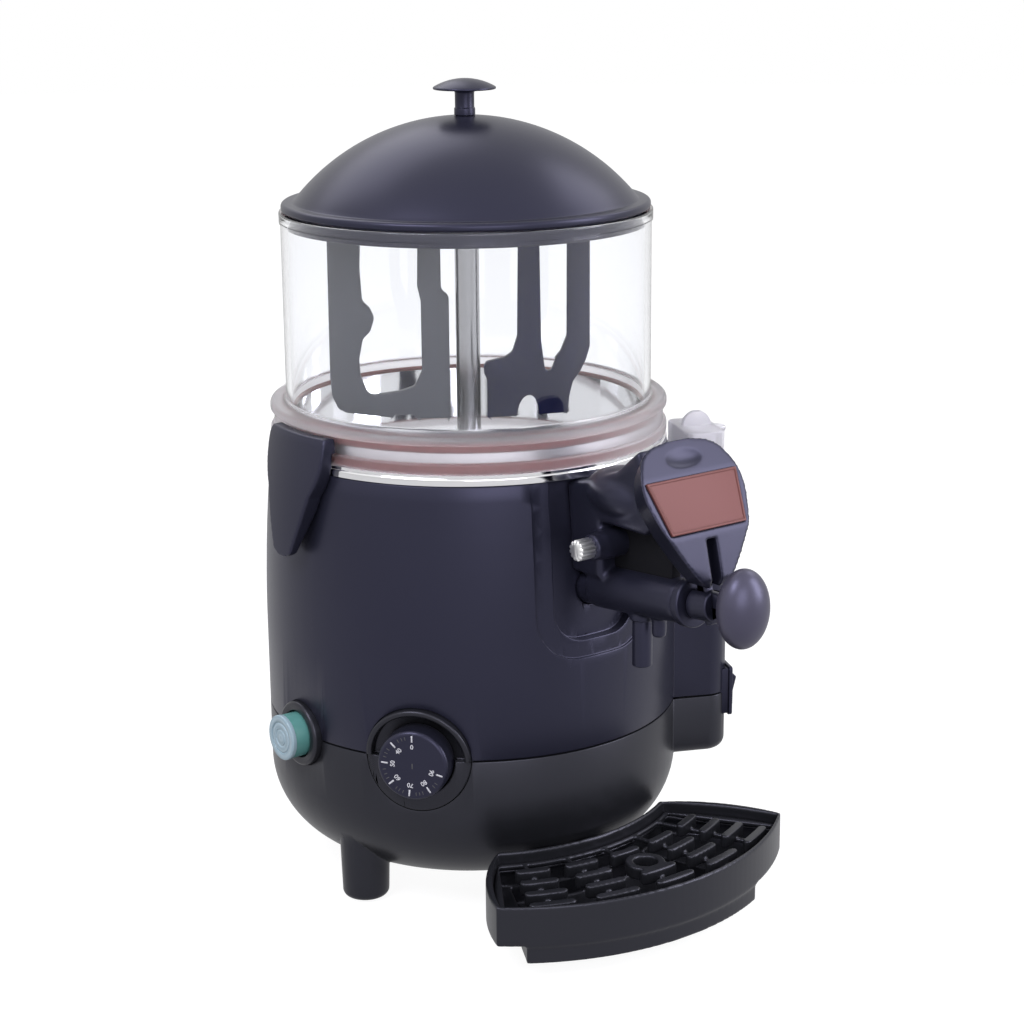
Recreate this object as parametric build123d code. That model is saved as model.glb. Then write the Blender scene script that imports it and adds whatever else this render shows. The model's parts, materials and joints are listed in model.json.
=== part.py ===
from build123d import *
import math
import os

# Overall frame: origin on the counter under the bowl's axis, +Z up, tap towards -Y, millimetres

# Casing, a turned body with a side housing and moulded legs
body_r = 124.0
body_top_r = 118.0
body_top_z = 258.0
taper_z = 150.0
seam_z = 100.0
seam_gap = 0.8
base_z = 16.0
base_corner_r = 50.0
shell_wall = 3.0
tongue_wall = 2.0
tongue_reach = 6.0
leg_angles = (0.0, 75.0, -75.0, 147.0, -147.0)
leg_pitch_r = 103.0
leg_top_r = 15.5
leg_foot_r = 13.6
leg_round = 4.0
pad_r = 8.0
pad_proud = 1.0
pad_depth = 3.0

# Side housing on the casing
side_angle = 66.0
side_reach = 150.0
side_front_w = 50.0
side_rear_w = 23.0
side_low_z = 63.0
side_high_z = 245.0
side_edge_r = 14.0
side_end_r = 7.0

# Stepped recess behind the tap
recess_half = 40.0
recess_low_z = 155.0
recess_corner_r = 26.0
recess_step = 1.3
pocket_half = 29.0
pocket_low_z = 165.0
pocket_corner_r = 19.0
pocket_depth = 7.0

# General fits
touch_gap = 0.1
run_gap = 0.05
part_gap = 0.4
rest_gap = 0.3
upward = (Align.CENTER, Align.CENTER, Align.MIN)
downward = (Align.CENTER, Align.CENTER, Align.MAX)

# Bottom plate
plate_r = 66.0
plate_wall = 1.5
plate_screw_pitch_r = 60.0
plate_screw_count = 4
plate_screw_r = 2.0
plate_screw_head_r = 3.8
plate_screw_head_h = 2.2
plate_screw_length = 7.0
vent_count = 5
vent_length = 50.0
vent_width = 4.0
vent_pitch = 11.0

# Water bath and pan
bath_r = 104.0
bath_wall = 1.2
bath_low_z = 212.0
bath_rim_r = 117.6
bath_rim_h = 4.6
bath_roll = 5.0
pan_r = 116.6
pan_wall = 1.4
outlet_pitch = 84.0
outlet_r = 8.0
outlet_wall = 1.4
column_r = 7.15
column_wall = 1.1
column_top_z = 384.0
bush_length = 10.0
heater_ring_r = 66.0
heater_rod_r = 4.2
heater_lift = 12.0
heater_leg_gap = 26.0
heater_tail = 16.0

# Bowl, seal and lid
bowl_r = 108.0
bowl_wall = 3.6
bowl_rim_z = 396.0
bowl_band_h = 6.5
bowl_band_proud = 0.8
skirt_r = 117.5
skirt_wall = 5.2
skirt_top_z = 286.0
skirt_ring_h = 6.0
skirt_groove = 2.2
skirt_groove_h = 10.2
skirt_round = 2.6
shoulder_wall = 4.0
seal_half_gap = 0.4
seal_width = 7.6
seal_groove = 1.6
seal_band_wall = 1.2
pan_lip_r = 103.8
pan_lip_wall = 1.0
pan_lip_h = 16.0
lid_rim_r = 107.4
lid_rim_h = 4.8
lid_rim_round = 1.6
lid_dome_r = 100.3
lid_wall = 2.6
lid_apex_z = 449.0
lid_spigot_h = 9.0
lid_spigot_wall = 2.2
knob_foot_r = 6.1
knob_foot_h = 4.0
knob_stem_r = 5.6
knob_cap_r = 18.2
knob_cap_h = 6.2
knob_edge = 1.2
knob_top_z = 470.0
lid_screw_r = 2.2
lid_screw_head_r = 4.5
lid_screw_reach = 9.0

# Agitator and drive
blade_wall = 6.0
blade_reach = 82.0
blade_turn = -36.0
blade_low_z = 271.0
blade_high_z = 389.0
hub_r = 13.0
hub_low_z = 383.0
hub_high_z = 401.0
hub_round = 3.0
shaft_r = 4.0
shaft_top_z = 397.0
gear_r = 38.0
gear_h = 26.0
gear_round = 2.0
motor_r = 29.0
motor_h = 54.0
motor_round = 4.0
motor_high_z = 200.0
bracket_wall = 3.0
bracket_r = 58.0
post_r = 4.5
post_pitch_r = 50.0
post_count = 3

# Controls on the seam
dial_angle = -51.0
dial_r = 20.6
dial_face_reach = 134.0
dial_back_reach = 119.5
dial_round = 2.5
cup_r = 30.7
cup_wall = 3.6
cup_floor_reach = 117.0
cup_back_reach = 110.0
cup_front_reach = 122.3
cup_lean = 12.0
cup_gap = 0.8
cup_round = 1.4
spindle_r = 3.0
spindle_reach = 127.0
thermostat_size = 40.0
thermostat_depth = 32.0
thermostat_round = 3.0
thermostat_face_reach = 108.0
button_angle = -90.0
button_r = 13.0
button_face_reach = 135.6
button_length = 17.7
button_cap_r = 13.4
button_cap_h = 2.8
button_cap_round = 0.9
cap_ring_radii = (9.6, 5.4)
cap_ring_width = 1.1
cap_ring_depth = 0.5
button_travel = 3.5
bezel_r = 19.2
bezel_face_reach = 127.5
bezel_back_reach = 117.0
bezel_round = 2.0
switch_r = 11.0
switch_length = 32.0
switch_face_reach = button_face_reach - button_length - button_travel - part_gap
plunger_r = 4.0
plunger_depth = 10.0
rocker_side_offset = -36.0
rocker_frame_h = 31.0
rocker_frame_w = 21.0
rocker_frame_wall = 2.4
rocker_half = 12.0
rocker_w = 14.0
rocker_depth = 3.0
rocker_lean = 7.0
rocker_body_depth = 20.0
rocker_frame_round = 2.0
rocker_slack = 1.4
rocker_floor = 11.0
rocker_proud = 1.6
rocker_root = 6.0

# Water filler in the top of the side housing
filler_reach = 138.0
filler_side = -12.0
filler_length = 42.0
filler_width = 25.0
filler_h = 15.0
filler_wall = 2.0
filler_plug_h = 7.0
filler_inset = 3.0
filler_corner_r = 5.0
filler_grip_r = 9.0
filler_grip_wall = 4.0
filler_tab_r = 6.0
filler_tab_h = 3.0
filler_tab_drop = 4.0
filler_round = 1.2
filler_plug_round = 0.6

# Clips that hold the bowl
clip_half = 28.0
clip_low_z = 209.0
clip_pivot_x = 124.2
clip_pivot_z = 238.0
clip_hook_gap = 0.6
clip_hook_top_gap = 0.9
clip_top_r = 122.0
clip_brow_r = 124.0
clip_waist_r = 129.8
clip_foot_r = 134.0
clip_foot_wall = 4.5
clip_flank_gap = 0.9
clip_span = 14.0
ear_r = 4.0
ear_near = 8.0
ear_far = 13.0
ear_pocket_gap = 0.6
ear_side_gap = 1.5
clip_toe_half = 9.0
clip_toe_rise = 3.0
clip_calf_half = 17.5
clip_calf_rise = 26.0
clip_thigh_half = 21.0
clip_thigh_rise = 8.0
clip_cheek = 0.8
clip_cheek_drop = 16.0
clip_brow_drop = 3.0
clip_waist_rise = 7.0
pin_grip = 3.0
pin_r = 2.5
clip_spring_r = 3.8
clip_spring_wall = 1.1

# Tap, drawn forward from the recess to the lever's pivot
lever_pivot_reach = 197.0
lever_pivot_z = 258.0
tap_root_reach = 112.0
tap_root_z = 193.5
tap_lean = 7.0
fork_ahead = 16.74
fork_pin_at = (lever_pivot_reach + fork_ahead - tap_root_reach) / math.cos(math.radians(tap_lean))
barrel_r = 12.2
barrel_root_r = 10.4
barrel_bore_r = 8.05
barrel_back = -12.0
ring_behind = 16.5
barrel_front = fork_pin_at - ring_behind
end_ring_r = 13.6
end_ring_h = 6.0
end_ring_round = 1.2
nozzle_reach = 160.0
nozzle_r = 5.6
nozzle_bore_r = 4.0
nozzle_low_z = 158.0
nozzle_sleeve = 2.0
nozzle_sleeve_drop = 3.0
nozzle_round = 0.8
prong_ahead = 14.0
prong_reach = nozzle_reach + prong_ahead
prong_r = 4.2
prong_low_z = 178.0
neck_half = 14.0
neck_low_z = 205.0
neck_round = 2.5
neck_foot_reach = 124.0
neck_brow_reach = 152.0
neck_brow_z = 269.0
neck_seat_high_z = 284.0
neck_seat_low_z = 250.0
neck_chin = 14.0
neck_arch_z = 238.0
lock_reach = 144.0
lock_bed = 4.0
neck_front_reach = lock_reach - lock_bed
lock_z = 226.5
lock_sleeve_r = 8.2
lock_sleeve_half = 18.0
lock_pin_r = 3.5
lock_knob_r = 5.9
lock_knob_length = 14.0
lock_neck_length = 2.0
lock_knob_round = 0.9
piston_length = 22.0
piston_start = 38.0
rod_r = 6.0
fork_r = 8.6
fork_back = 9.0
fork_nose = 6.5
fork_floor = 1.0
fork_round = 1.0
fork_start = fork_pin_at - fork_back
fork_end = fork_pin_at + fork_nose
fork_pin_r = 2.0
fork_pin_inset = 1.2
fork_pin_slack = 0.6
fork_slot_run = 4.6
seal_half = 1.2
seal_depth = 2.0
spring_r = 7.6
spring_wall = 1.3

# Tap head, lever and knob, placed by distance in front of the axis and height
head_half = 35.0
head_drop = 50.0
head_top_z = 291.5
head_low_z = 217.0
head_depth = 19.0
head_crown = 7.0
head_crown_drop = 6.0
head_brow = 11.0
head_edge = 2.0
head_chin = 6.0
head_chin_rise = 5.0
head_jaw = 12.0
head_nape_z = 248.0
head_lip = 3.0
head_skin = 4.0
head_taper = 24.0
head_taper_depth = 26.0
plaque_ahead = 9.0
plaque_reach = lever_pivot_reach + plaque_ahead
plaque_z = 261.0
plaque_lean = 30.0
plaque_top_w = 63.0
plaque_low_w = 52.0
plaque_h = 30.0
plaque_wall = 1.8
plaque_sink = 0.8
plaque_corner_r = 1.0
plaque_edge = 0.5
lever_eye_r = 5.5
lever_wall = 5.4
lever_half = 2.8
lever_flare = 0.6
fork_drop = lever_pivot_z - tap_root_z - fork_pin_at * math.sin(math.radians(tap_lean))
fork_distance = math.hypot(fork_ahead, fork_drop)
tail_beyond = 10.36440
lever_tail = fork_distance + tail_beyond
lever_tip = 4.0
slot_gap = 0.5
slot_top_z = 243.0
slot_lean = 4.0
slot_drop = 14.0
knob_ahead = 43.5
knob_reach = lever_pivot_reach + knob_ahead
knob_z = 210.5
knob_half_x = 15.5
knob_half_y = 12.4
knob_half_z = 21.8
arm_half = 4.2
arm_drop = 14.0
arm_sink = 6.0

# Drip tray
tray_top_z = 44.0
tray_low_z = 9.5
tray_shelf_z = 20.0
tray_wall = 2.6
tray_front = 203.5
tray_tip_x = 105.5
tray_tip_reach = 164.0
tray_horn_bulge = 6.4
tray_body_gap = 2.7
tray_back_half_angle = 30.0
tray_well_left_angle = 28.0
tray_well_right_angle = 18.0
tray_well_inset = 1.2
ledge_wall = 2.4
ledge_h = 2.0
grid_wall = 3.0
grid_gap = 0.5
grid_drop = 2.0
bar_rows = (146.0, 161.0, 175.5, 190.0)
bar_width = 5.4
bar_height = 4.6
grid_rim = 3.0
rib_half_angle = 0.5
bar_setback = 1.7
bar_ends = (-29.0, -17.5, -5.8, 5.8, 17.5, 29.0)
drip_ring_reach = 164.0
drip_ring_r = 11.5
drip_hole_r = 7.0
carrier_half = 34.0
carrier_wall = 4.4
carrier_back = 60.0
carrier_front = 186.0
carrier_corner_r = 8.0
carrier_screw_inset = 9.0
carrier_boss_r = 6.0

# Mains gland and terminals
gland_angle = 180.0
gland_z = 78.0
gland_r = 9.0
gland_bore_r = 4.2
gland_nut_r = 12.5
gland_nut_h = 6.0
terminal_length = 60.0
terminal_width = 22.0
terminal_height = 18.0
terminal_back = 34.0
terminal_count = 3
terminal_pitch = 17.6
terminal_hole_r = 3.2
terminal_hole_depth = 6.0


def taper_bulge():
    drop = body_r - body_top_r
    rise = body_top_z - taper_z
    return (drop ** 2 + rise ** 2) / (2 * drop)


def body_radius(z):
    if z <= taper_z:
        return body_r
    bend = taper_bulge()
    return body_r - bend + math.sqrt(bend ** 2 - (z - taper_z) ** 2)


def outward(angle, reach, z):
    turn = math.radians(angle)
    return (reach * math.sin(turn), -reach * math.cos(turn), z)


def radial_plane(angle, reach, z):
    turn = math.radians(angle)
    normal = (math.sin(turn), -math.cos(turn), 0)
    side = (math.cos(turn), math.sin(turn), 0)
    return Plane(origin=outward(angle, reach, z), x_dir=side, z_dir=normal)


def radial_disc(angle, z, r, near, far):
    return radial_plane(angle, near, z) * Cylinder(r, far - near, align=upward)


def post(x, y, r, low, high):
    return Pos(x, y, low) * Cylinder(r, high - low, align=upward)


def ring(outer, inner, low, high):
    return post(0, 0, outer, low, high) - post(0, 0, inner, low - 1, high + 1)


def turned(points):
    outline = Polyline(*[(r, 0, z) for r, z in points], close=True)
    return revolve(make_face(outline), Axis.Z)


def side_sheet(points, half):
    # a profile of (distance in front, height) points, as thick as 2 * half across X
    outline = Polyline(*[(0, -reach, z) for reach, z in points], close=True)
    return extrude(make_face(outline), half, dir=(1, 0, 0), both=True)


def slab(low, high):
    wide = 4 * body_r
    return Pos(0, 0, low) * Box(wide, wide, high - low, align=upward)


# Casing

def turned_body(inset, top):
    r = body_r - inset
    corner = base_corner_r - inset
    floor = base_z + inset
    half = corner * math.sqrt(0.5)
    middle = (taper_z + body_top_z) / 2
    edges = [
        Line((0, 0, floor), (r - corner, 0, floor)),
        ThreePointArc(
            (r - corner, 0, floor),
            (r - corner + half, 0, floor + corner - half),
            (r, 0, floor + corner),
        ),
        Line((r, 0, floor + corner), (r, 0, taper_z)),
        ThreePointArc(
            (r, 0, taper_z),
            (body_radius(middle) - inset, 0, middle),
            (body_top_r - inset, 0, body_top_z),
        ),
        Line((body_top_r - inset, 0, top), (0, 0, top)),
        Line((0, 0, top), (0, 0, floor)),
    ]
    if top > body_top_z:
        edges.append(Line((body_top_r - inset, 0, body_top_z), (body_top_r - inset, 0, top)))
    return revolve(make_face(edges), Axis.Z)


def side_block(inset):
    low = side_low_z + inset
    high = side_high_z - inset
    depth = side_reach - inset
    width = side_front_w + side_rear_w - 2 * inset
    block = Box(depth, width, high - low, align=(Align.MIN, Align.MIN, Align.MIN))
    block = Pos(0, inset - side_front_w, 0) * block
    far_edges = block.edges().filter_by(Axis.Z).group_by(Axis.X)[-1]
    block = fillet(far_edges, side_edge_r - inset)
    ends = block.faces().filter_by(Axis.Z)
    block = fillet(ends.edges().filter_by(lambda e: e.center().X > 1), max(side_end_r - inset, 1.0))
    return Pos(0, 0, low) * Rot(0, 0, side_angle - 90) * block


def legs():
    shapes = []
    for angle in leg_angles:
        x, y, _ = outward(angle, leg_pitch_r, 0)
        height = base_z + base_corner_r - pad_proud
        leg = Cone(leg_foot_r, leg_top_r, height, align=upward)
        leg = fillet(leg.edges().sort_by(Axis.Z)[0], leg_round)
        shapes.append(Pos(x, y, pad_proud) * leg)
    return shapes


def arch_prism(half, low, corner):
    outline = RectangleRounded(2 * half, 2 * (body_top_z - low), corner)
    sheet = Plane(origin=(0, 0, body_top_z), x_dir=(1, 0, 0), z_dir=(0, -1, 0)) * outline
    return extrude(sheet, 2 * body_r)


def seam_holes():
    holes = radial_disc(dial_angle, seam_z, cup_r + touch_gap, cup_back_reach - 20, body_r + 20)
    holes += radial_disc(button_angle, seam_z, bezel_r + touch_gap, bezel_back_reach - 10, body_r + 20)
    window = Box(
        rocker_w + 2 * rocker_frame_wall + 2 * touch_gap,
        2 * (rocker_half + rocker_frame_wall + touch_gap),
        rocker_body_depth,
        align=downward,
    )
    holes += rocker_plane() * Pos(0, 0, 1) * window
    return holes


def rocker_plane():
    face = radial_plane(side_angle, side_reach, seam_z)
    return face * Pos(rocker_side_offset, 0, 0)


def casing_shells():
    top = body_top_z + 10
    outer = turned_body(0, body_top_z) + side_block(0) + legs()
    hollow = turned_body(shell_wall, top) + side_block(shell_wall)
    pocket = arch_prism(pocket_half, pocket_low_z, pocket_corner_r)
    back_half = pocket_half + shell_wall
    pocket_back = arch_prism(back_half, pocket_low_z - shell_wall, pocket_corner_r + shell_wall)
    hollow -= pocket_back - turned_body(pocket_depth + shell_wall, top)
    shell = outer - hollow
    shell -= pocket - turned_body(pocket_depth, top)
    shell -= arch_prism(recess_half, recess_low_z, recess_corner_r) - turned_body(recess_step, top)
    shell -= seam_holes()
    lower = shell & slab(0, seam_z - seam_gap / 2)
    upper = shell & slab(seam_z + seam_gap / 2, top)
    return lower, upper


def lower_shell(shell):
    inner = body_r - shell_wall
    tongue = ring(inner, inner - tongue_wall, seam_z - tongue_reach, seam_z - seam_gap / 2)
    tongue += ring(inner - touch_gap, inner - tongue_wall, seam_z - seam_gap, seam_z + tongue_reach)
    tongue -= side_block(-touch_gap)
    shell += tongue - seam_holes()
    shell -= post(0, 0, plate_r - plate_wall * 4, base_z - 1, base_z + shell_wall + 1)
    shell -= post(0, 0, plate_r + touch_gap, base_z - 1, base_z + plate_wall)
    shell -= plate_screw_shanks(touch_gap)
    shell -= carrier_screw_shanks(touch_gap)
    for angle in leg_angles:
        x, y, _ = outward(angle, leg_pitch_r, 0)
        shell -= post(x, y, pad_r, 0, pad_proud + pad_depth)
    gland = radial_disc(gland_angle, gland_z, gland_r + touch_gap, body_r - 20, body_r + 20)
    return shell - gland


def clip_ears():
    ears = []
    for side in (-1, 1):
        for near, far in ((ear_near, ear_far), (-ear_far, -ear_near)):
            root = clip_pivot_x - body_top_r + ear_r
            lug = Box(root, far - near, 2 * ear_r, align=(Align.MAX, Align.MIN, Align.CENTER))
            tip = Cylinder(ear_r, far - near, rotation=(-90, 0, 0), align=upward)
            lug += tip
            ear = Pos(clip_pivot_x, near, clip_pivot_z) * lug
            ears.append(ear if side > 0 else mirror(ear, about=Plane.YZ))
    return ears


def upper_shell(shell):
    lugs = Part() + clip_ears()
    lugs -= turned_body(shell_wall, body_top_z)
    for side in (-1, 1):
        lugs -= clip_pin(side, pin_r)
    shell += lugs
    shell -= filler_place(side_high_z - 10) * filler_slab(filler_inset, 20)
    shell -= barrel_cone(part_gap)
    return shell


def foot_pads():
    pads = []
    for angle in leg_angles:
        x, y, _ = outward(angle, leg_pitch_r, 0)
        pads.append(post(x, y, pad_r, 0, pad_proud + pad_depth))
    return pads


def screw_ring(count, pitch, turn):
    return [outward(turn + index * 360 / count, pitch, 0)[:2] for index in range(count)]


def plate_screw_shanks(gap):
    top = base_z + plate_screw_length
    return [
        post(x, y, plate_screw_r + gap, base_z - 1, top)
        for x, y in screw_ring(plate_screw_count, plate_screw_pitch_r, 45)
    ]


def bottom_plate():
    plate = post(0, 0, plate_r, base_z, base_z + plate_wall)
    for index in range(vent_count):
        y = (index - (vent_count - 1) / 2) * vent_pitch
        slot = extrude(SlotOverall(vent_length, vent_width), 4 * plate_wall, both=True)
        plate -= Pos(0, y, base_z) * slot
    return plate - plate_screw_shanks(touch_gap)


def bottom_screws():
    screws = []
    for x, y in screw_ring(plate_screw_count, plate_screw_pitch_r, 45):
        screw = post(x, y, plate_screw_r, base_z, base_z + plate_screw_length)
        head = post(x, y, plate_screw_head_r, base_z - plate_screw_head_h, base_z)
        screws.append(screw + fillet(head.edges().sort_by(Axis.Z)[0], plate_screw_head_h / 2))
    return screws


# Water bath, pan, drive column and outlet

def bath_rim_z():
    return body_top_z + touch_gap + bath_rim_h


def pan_top_z():
    return bath_rim_z() + pan_wall


def water_bath():
    inner = bath_r - bath_wall
    rim = bath_rim_z()
    low = body_top_z + touch_gap
    bath = turned([
        (0, bath_low_z),
        (bath_r, bath_low_z),
        (bath_r, rim - bath_wall),
        (bath_rim_r - bath_roll, rim - bath_wall),
        (bath_rim_r - bath_roll, low),
        (bath_rim_r, low),
        (bath_rim_r, rim),
        (inner, rim),
        (inner, bath_low_z + bath_wall),
        (0, bath_low_z + bath_wall),
    ])
    bath -= post(0, 0, column_r, bath_low_z - 1, bath_low_z + bath_wall + 1)
    bath -= post(0, -outlet_pitch, outlet_r, bath_low_z - 1, bath_low_z + bath_wall + 1)
    bath -= heater_legs()
    return bath


def pan():
    plate = post(0, 0, pan_r, bath_rim_z(), pan_top_z())
    plate -= post(0, 0, column_r, bath_rim_z() - 1, pan_top_z() + 1)
    plate -= post(0, -outlet_pitch, outlet_r, bath_rim_z() - 1, pan_top_z() + 1)
    return plate + ring(pan_lip_r, pan_lip_r - pan_lip_wall, pan_top_z() - pan_wall, pan_top_z() + pan_lip_h)


def column_tube():
    return ring(column_r, column_r - column_wall, bath_low_z - 6, column_top_z)


def column_bush():
    return ring(column_r - column_wall, shaft_r + run_gap, column_top_z - bush_length, column_top_z)


def outlet_tube():
    bend = outlet_r * 1.6
    tap = tap_frame()
    mouth = tap * Pos(0, -(barrel_back + bush_length), 0)
    entry = (tap * Pos(0, -(barrel_back + bush_length - bend), 0)).position
    corner = (tap * Pos(0, outlet_pitch - tap_root_reach, 0)).position
    down = Vector(0, -outlet_pitch, pan_top_z())
    corner = Vector(0, -outlet_pitch, corner.Z + (outlet_pitch + corner.Y) * math.tan(math.radians(tap_lean)))
    path = FilletPolyline(down, corner, mouth.position, radius=bend)
    section = Plane(origin=down, z_dir=(0, 0, -1))
    tube = sweep(section * Circle(outlet_r), path=path)
    bore = sweep(section * Circle(outlet_r - outlet_wall), path=path)
    return tube - bore


def heater_z():
    return bath_low_z + bath_wall + heater_lift


def heater_legs():
    low = bath_low_z - heater_tail
    return [post(x, y, heater_rod_r, low, heater_z()) for x, y in heater_leg_points()]


def heater_ring():
    span = math.degrees(math.asin(heater_leg_gap / 2 / heater_ring_r))
    path = CenterArc((0, 0, heater_z()), heater_ring_r, 90 + span, 360 - 2 * span)
    section = Plane(origin=path @ 0, z_dir=path % 0)
    rod = sweep(section * Circle(heater_rod_r), path=path)
    return rod + heater_legs() + [
        Pos(*(path @ 0)) * Sphere(heater_rod_r),
        Pos(*(path @ 1)) * Sphere(heater_rod_r),
    ]


def seal_r():
    return skirt_r - skirt_wall - seal_half_gap


def seal_levels():
    low = pan_top_z()
    high = skirt_top_z - shoulder_wall - touch_gap
    third = (high - low) / 3
    return low, low + third, high - third, high


def seal_ring():
    outer = seal_r()
    inner = outer - seal_width
    low, groove_low, groove_high, high = seal_levels()
    return turned([
        (inner, low),
        (outer, low),
        (outer, groove_low),
        (outer - seal_groove, groove_low),
        (outer - seal_groove, groove_high),
        (outer, groove_high),
        (outer, high),
        (inner, high),
    ])


def seal_band():
    _, low, high, _ = seal_levels()
    inner = seal_r() - seal_groove + touch_gap
    return ring(inner + seal_band_wall, inner, low + touch_gap, high - touch_gap)


def groove_low_z():
    return pan_top_z() + part_gap + skirt_ring_h


def bowl():
    inner = bowl_r - bowl_wall
    low = pan_top_z() + part_gap
    shoulder = skirt_top_z - shoulder_wall
    groove = groove_low_z()
    waist = skirt_r - skirt_groove
    section = make_face(Polyline(
        (inner, 0, shoulder),
        (skirt_r - skirt_wall, 0, shoulder),
        (skirt_r - skirt_wall, 0, low),
        (skirt_r, 0, low),
        (skirt_r, 0, groove),
        (waist, 0, groove),
        (waist, 0, groove + skirt_groove_h),
        (skirt_r, 0, groove + skirt_groove_h),
        (skirt_r, 0, skirt_top_z),
        (bowl_r, 0, skirt_top_z),
        (bowl_r, 0, bowl_rim_z - bowl_band_h),
        (bowl_r + bowl_band_proud, 0, bowl_rim_z - bowl_band_h),
        (bowl_r + bowl_band_proud, 0, bowl_rim_z),
        (inner, 0, bowl_rim_z),
        close=True,
    ))
    shape = revolve(section, Axis.Z)
    circles = shape.edges().filter_by(GeomType.CIRCLE)
    level = circles.filter_by_position(Axis.Z, skirt_top_z - touch_gap, skirt_top_z + touch_gap)
    return fillet(level, skirt_round)


def lid():
    base = bowl_rim_z + rest_gap
    crown = base + lid_rim_h
    rise = lid_apex_z - crown
    dome = (lid_dome_r ** 2 + rise ** 2) / (2 * rise)
    inner = dome - lid_wall
    centre = lid_apex_z - dome
    half = math.asin(lid_dome_r / dome) / 2
    spigot = bowl_r - bowl_wall - part_gap
    foot = spigot - lid_spigot_wall
    foot_z = centre + math.sqrt(inner ** 2 - foot ** 2)
    inner_half = math.asin(foot / inner) / 2
    edges = [
        Line((foot, 0, base - lid_spigot_h), (spigot, 0, base - lid_spigot_h)),
        Line((spigot, 0, base - lid_spigot_h), (spigot, 0, base)),
        Line((spigot, 0, base), (lid_rim_r, 0, base)),
        Line((lid_rim_r, 0, base), (lid_rim_r, 0, crown)),
        Line((lid_rim_r, 0, crown), (lid_dome_r, 0, crown)),
        ThreePointArc(
            (lid_dome_r, 0, crown),
            (dome * math.sin(half), 0, centre + dome * math.cos(half)),
            (0, 0, lid_apex_z),
        ),
        Line((0, 0, lid_apex_z), (0, 0, lid_apex_z - lid_wall)),
        ThreePointArc(
            (0, 0, lid_apex_z - lid_wall),
            (inner * math.sin(inner_half), 0, centre + inner * math.cos(inner_half)),
            (foot, 0, foot_z),
        ),
        Line((foot, 0, foot_z), (foot, 0, base - lid_spigot_h)),
    ]
    shape = revolve(make_face(edges), Axis.Z)
    rim = shape.edges().filter_by(GeomType.CIRCLE).filter_by(lambda e: abs(e.radius - lid_rim_r) < 0.01)
    shape = fillet(rim, lid_rim_round)
    return shape - post(0, 0, lid_screw_r + touch_gap, lid_apex_z - 2 * lid_wall, lid_apex_z + 1)


def lid_knob():
    low = lid_apex_z + touch_gap
    cap_low = knob_top_z - knob_cap_h
    crown = (knob_cap_r ** 2 + (knob_cap_h - knob_edge) ** 2) / (2 * (knob_cap_h - knob_edge))
    half = math.asin(knob_cap_r / crown) / 2
    edges = [
        Line((0, 0, low), (knob_foot_r, 0, low)),
        Line((knob_foot_r, 0, low), (knob_foot_r, 0, low + knob_foot_h)),
        Line((knob_foot_r, 0, low + knob_foot_h), (knob_stem_r, 0, low + knob_foot_h)),
        Line((knob_stem_r, 0, low + knob_foot_h), (knob_stem_r, 0, cap_low)),
        Line((knob_stem_r, 0, cap_low), (knob_cap_r, 0, cap_low)),
        Line((knob_cap_r, 0, cap_low), (knob_cap_r, 0, cap_low + knob_edge)),
        ThreePointArc(
            (knob_cap_r, 0, cap_low + knob_edge),
            (crown * math.sin(half), 0, knob_top_z - crown + crown * math.cos(half)),
            (0, 0, knob_top_z),
        ),
        Line((0, 0, knob_top_z), (0, 0, low)),
    ]
    knob = revolve(make_face(edges), Axis.Z)
    return knob - post(0, 0, lid_screw_r, low - 1, low + lid_screw_reach)


def lid_screw():
    under = lid_apex_z - lid_wall - touch_gap
    screw = post(0, 0, lid_screw_r, under, lid_apex_z + touch_gap + lid_screw_reach)
    return screw + post(0, 0, lid_screw_head_r, under - 2.6, under)


# Agitator and its drive, blades drawn in hundredths of the wide blade's reach and of the blades' height

def blade_face(points):
    tall = blade_high_z - blade_low_z
    corners = [(x / 100 * blade_reach, 0, blade_low_z + z / 100 * tall) for x, z in points]
    return make_face(Polyline(*corners, close=True))


def blade_sheet(outline, window):
    face = blade_face(outline) - blade_face(window)
    sheet = extrude(face, blade_wall / 2, dir=(0, 1, 0), both=True)
    return Rot(0, 0, blade_turn) * sheet


def wide_blade():
    outline = [
        (-99.4, 100), (-100, 22), (-98.8, 11.9), (-94.5, 5.5), (-89, 3.4), (-54.9, 0.5), (-53.7, 2),
        (-39, 1.9), (-37.8, 0), (-13.4, 0), (-13.4, 62.7), (-18.9, 65.3),
        (-18.9, 95.8), (-14, 95.8), (-14, 100),
    ]
    window = [
        (-75.6, 95.8), (-76.8, 76.3), (-75.6, 60.2), (-70.1, 56.4), (-67.1, 51.3), (-70.1, 44.9),
        (-75.6, 41.1), (-78.7, 30.5), (-78, 22), (-72.6, 11.9), (-50, 14), (-39, 16.5),
        (-33.5, 24.6), (-33.5, 60.2), (-35.9, 67.8), (-34.8, 95.8),
    ]
    return blade_sheet(outline, window) - post(0, 0, hub_r, hub_low_z - 1, hub_high_z + 1)


def narrow_blade():
    outline = [
        (14, 100), (14, 95.8), (36.6, 95.8), (35.4, 41.5), (31.7, 33.5), (26.2, 30.8),
        (11.2, 28.4), (11.2, 22.9), (13.4, 19.9), (13.4, 0), (34.8, 0.7), (36.6, 6.4),
        (39.6, 10), (43.9, 11.7), (47.8, 10.2), (50.2, 5.7), (50.6, 1.3), (72, 2.2), (72.9, 10.6),
        (75.6, 18.2), (80.9, 23.4), (85.1, 29.5), (87.8, 36.1), (87.8, 100),
    ]
    window = [
        (51.7, 95.8), (52.7, 39), (55.5, 23.7), (59.8, 23.7), (64.1, 31.8), (66.3, 33.2),
        (71.1, 41.5), (71.5, 95.8),
    ]
    return blade_sheet(outline, window) - post(0, 0, hub_r, hub_low_z - 1, hub_high_z + 1)


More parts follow.
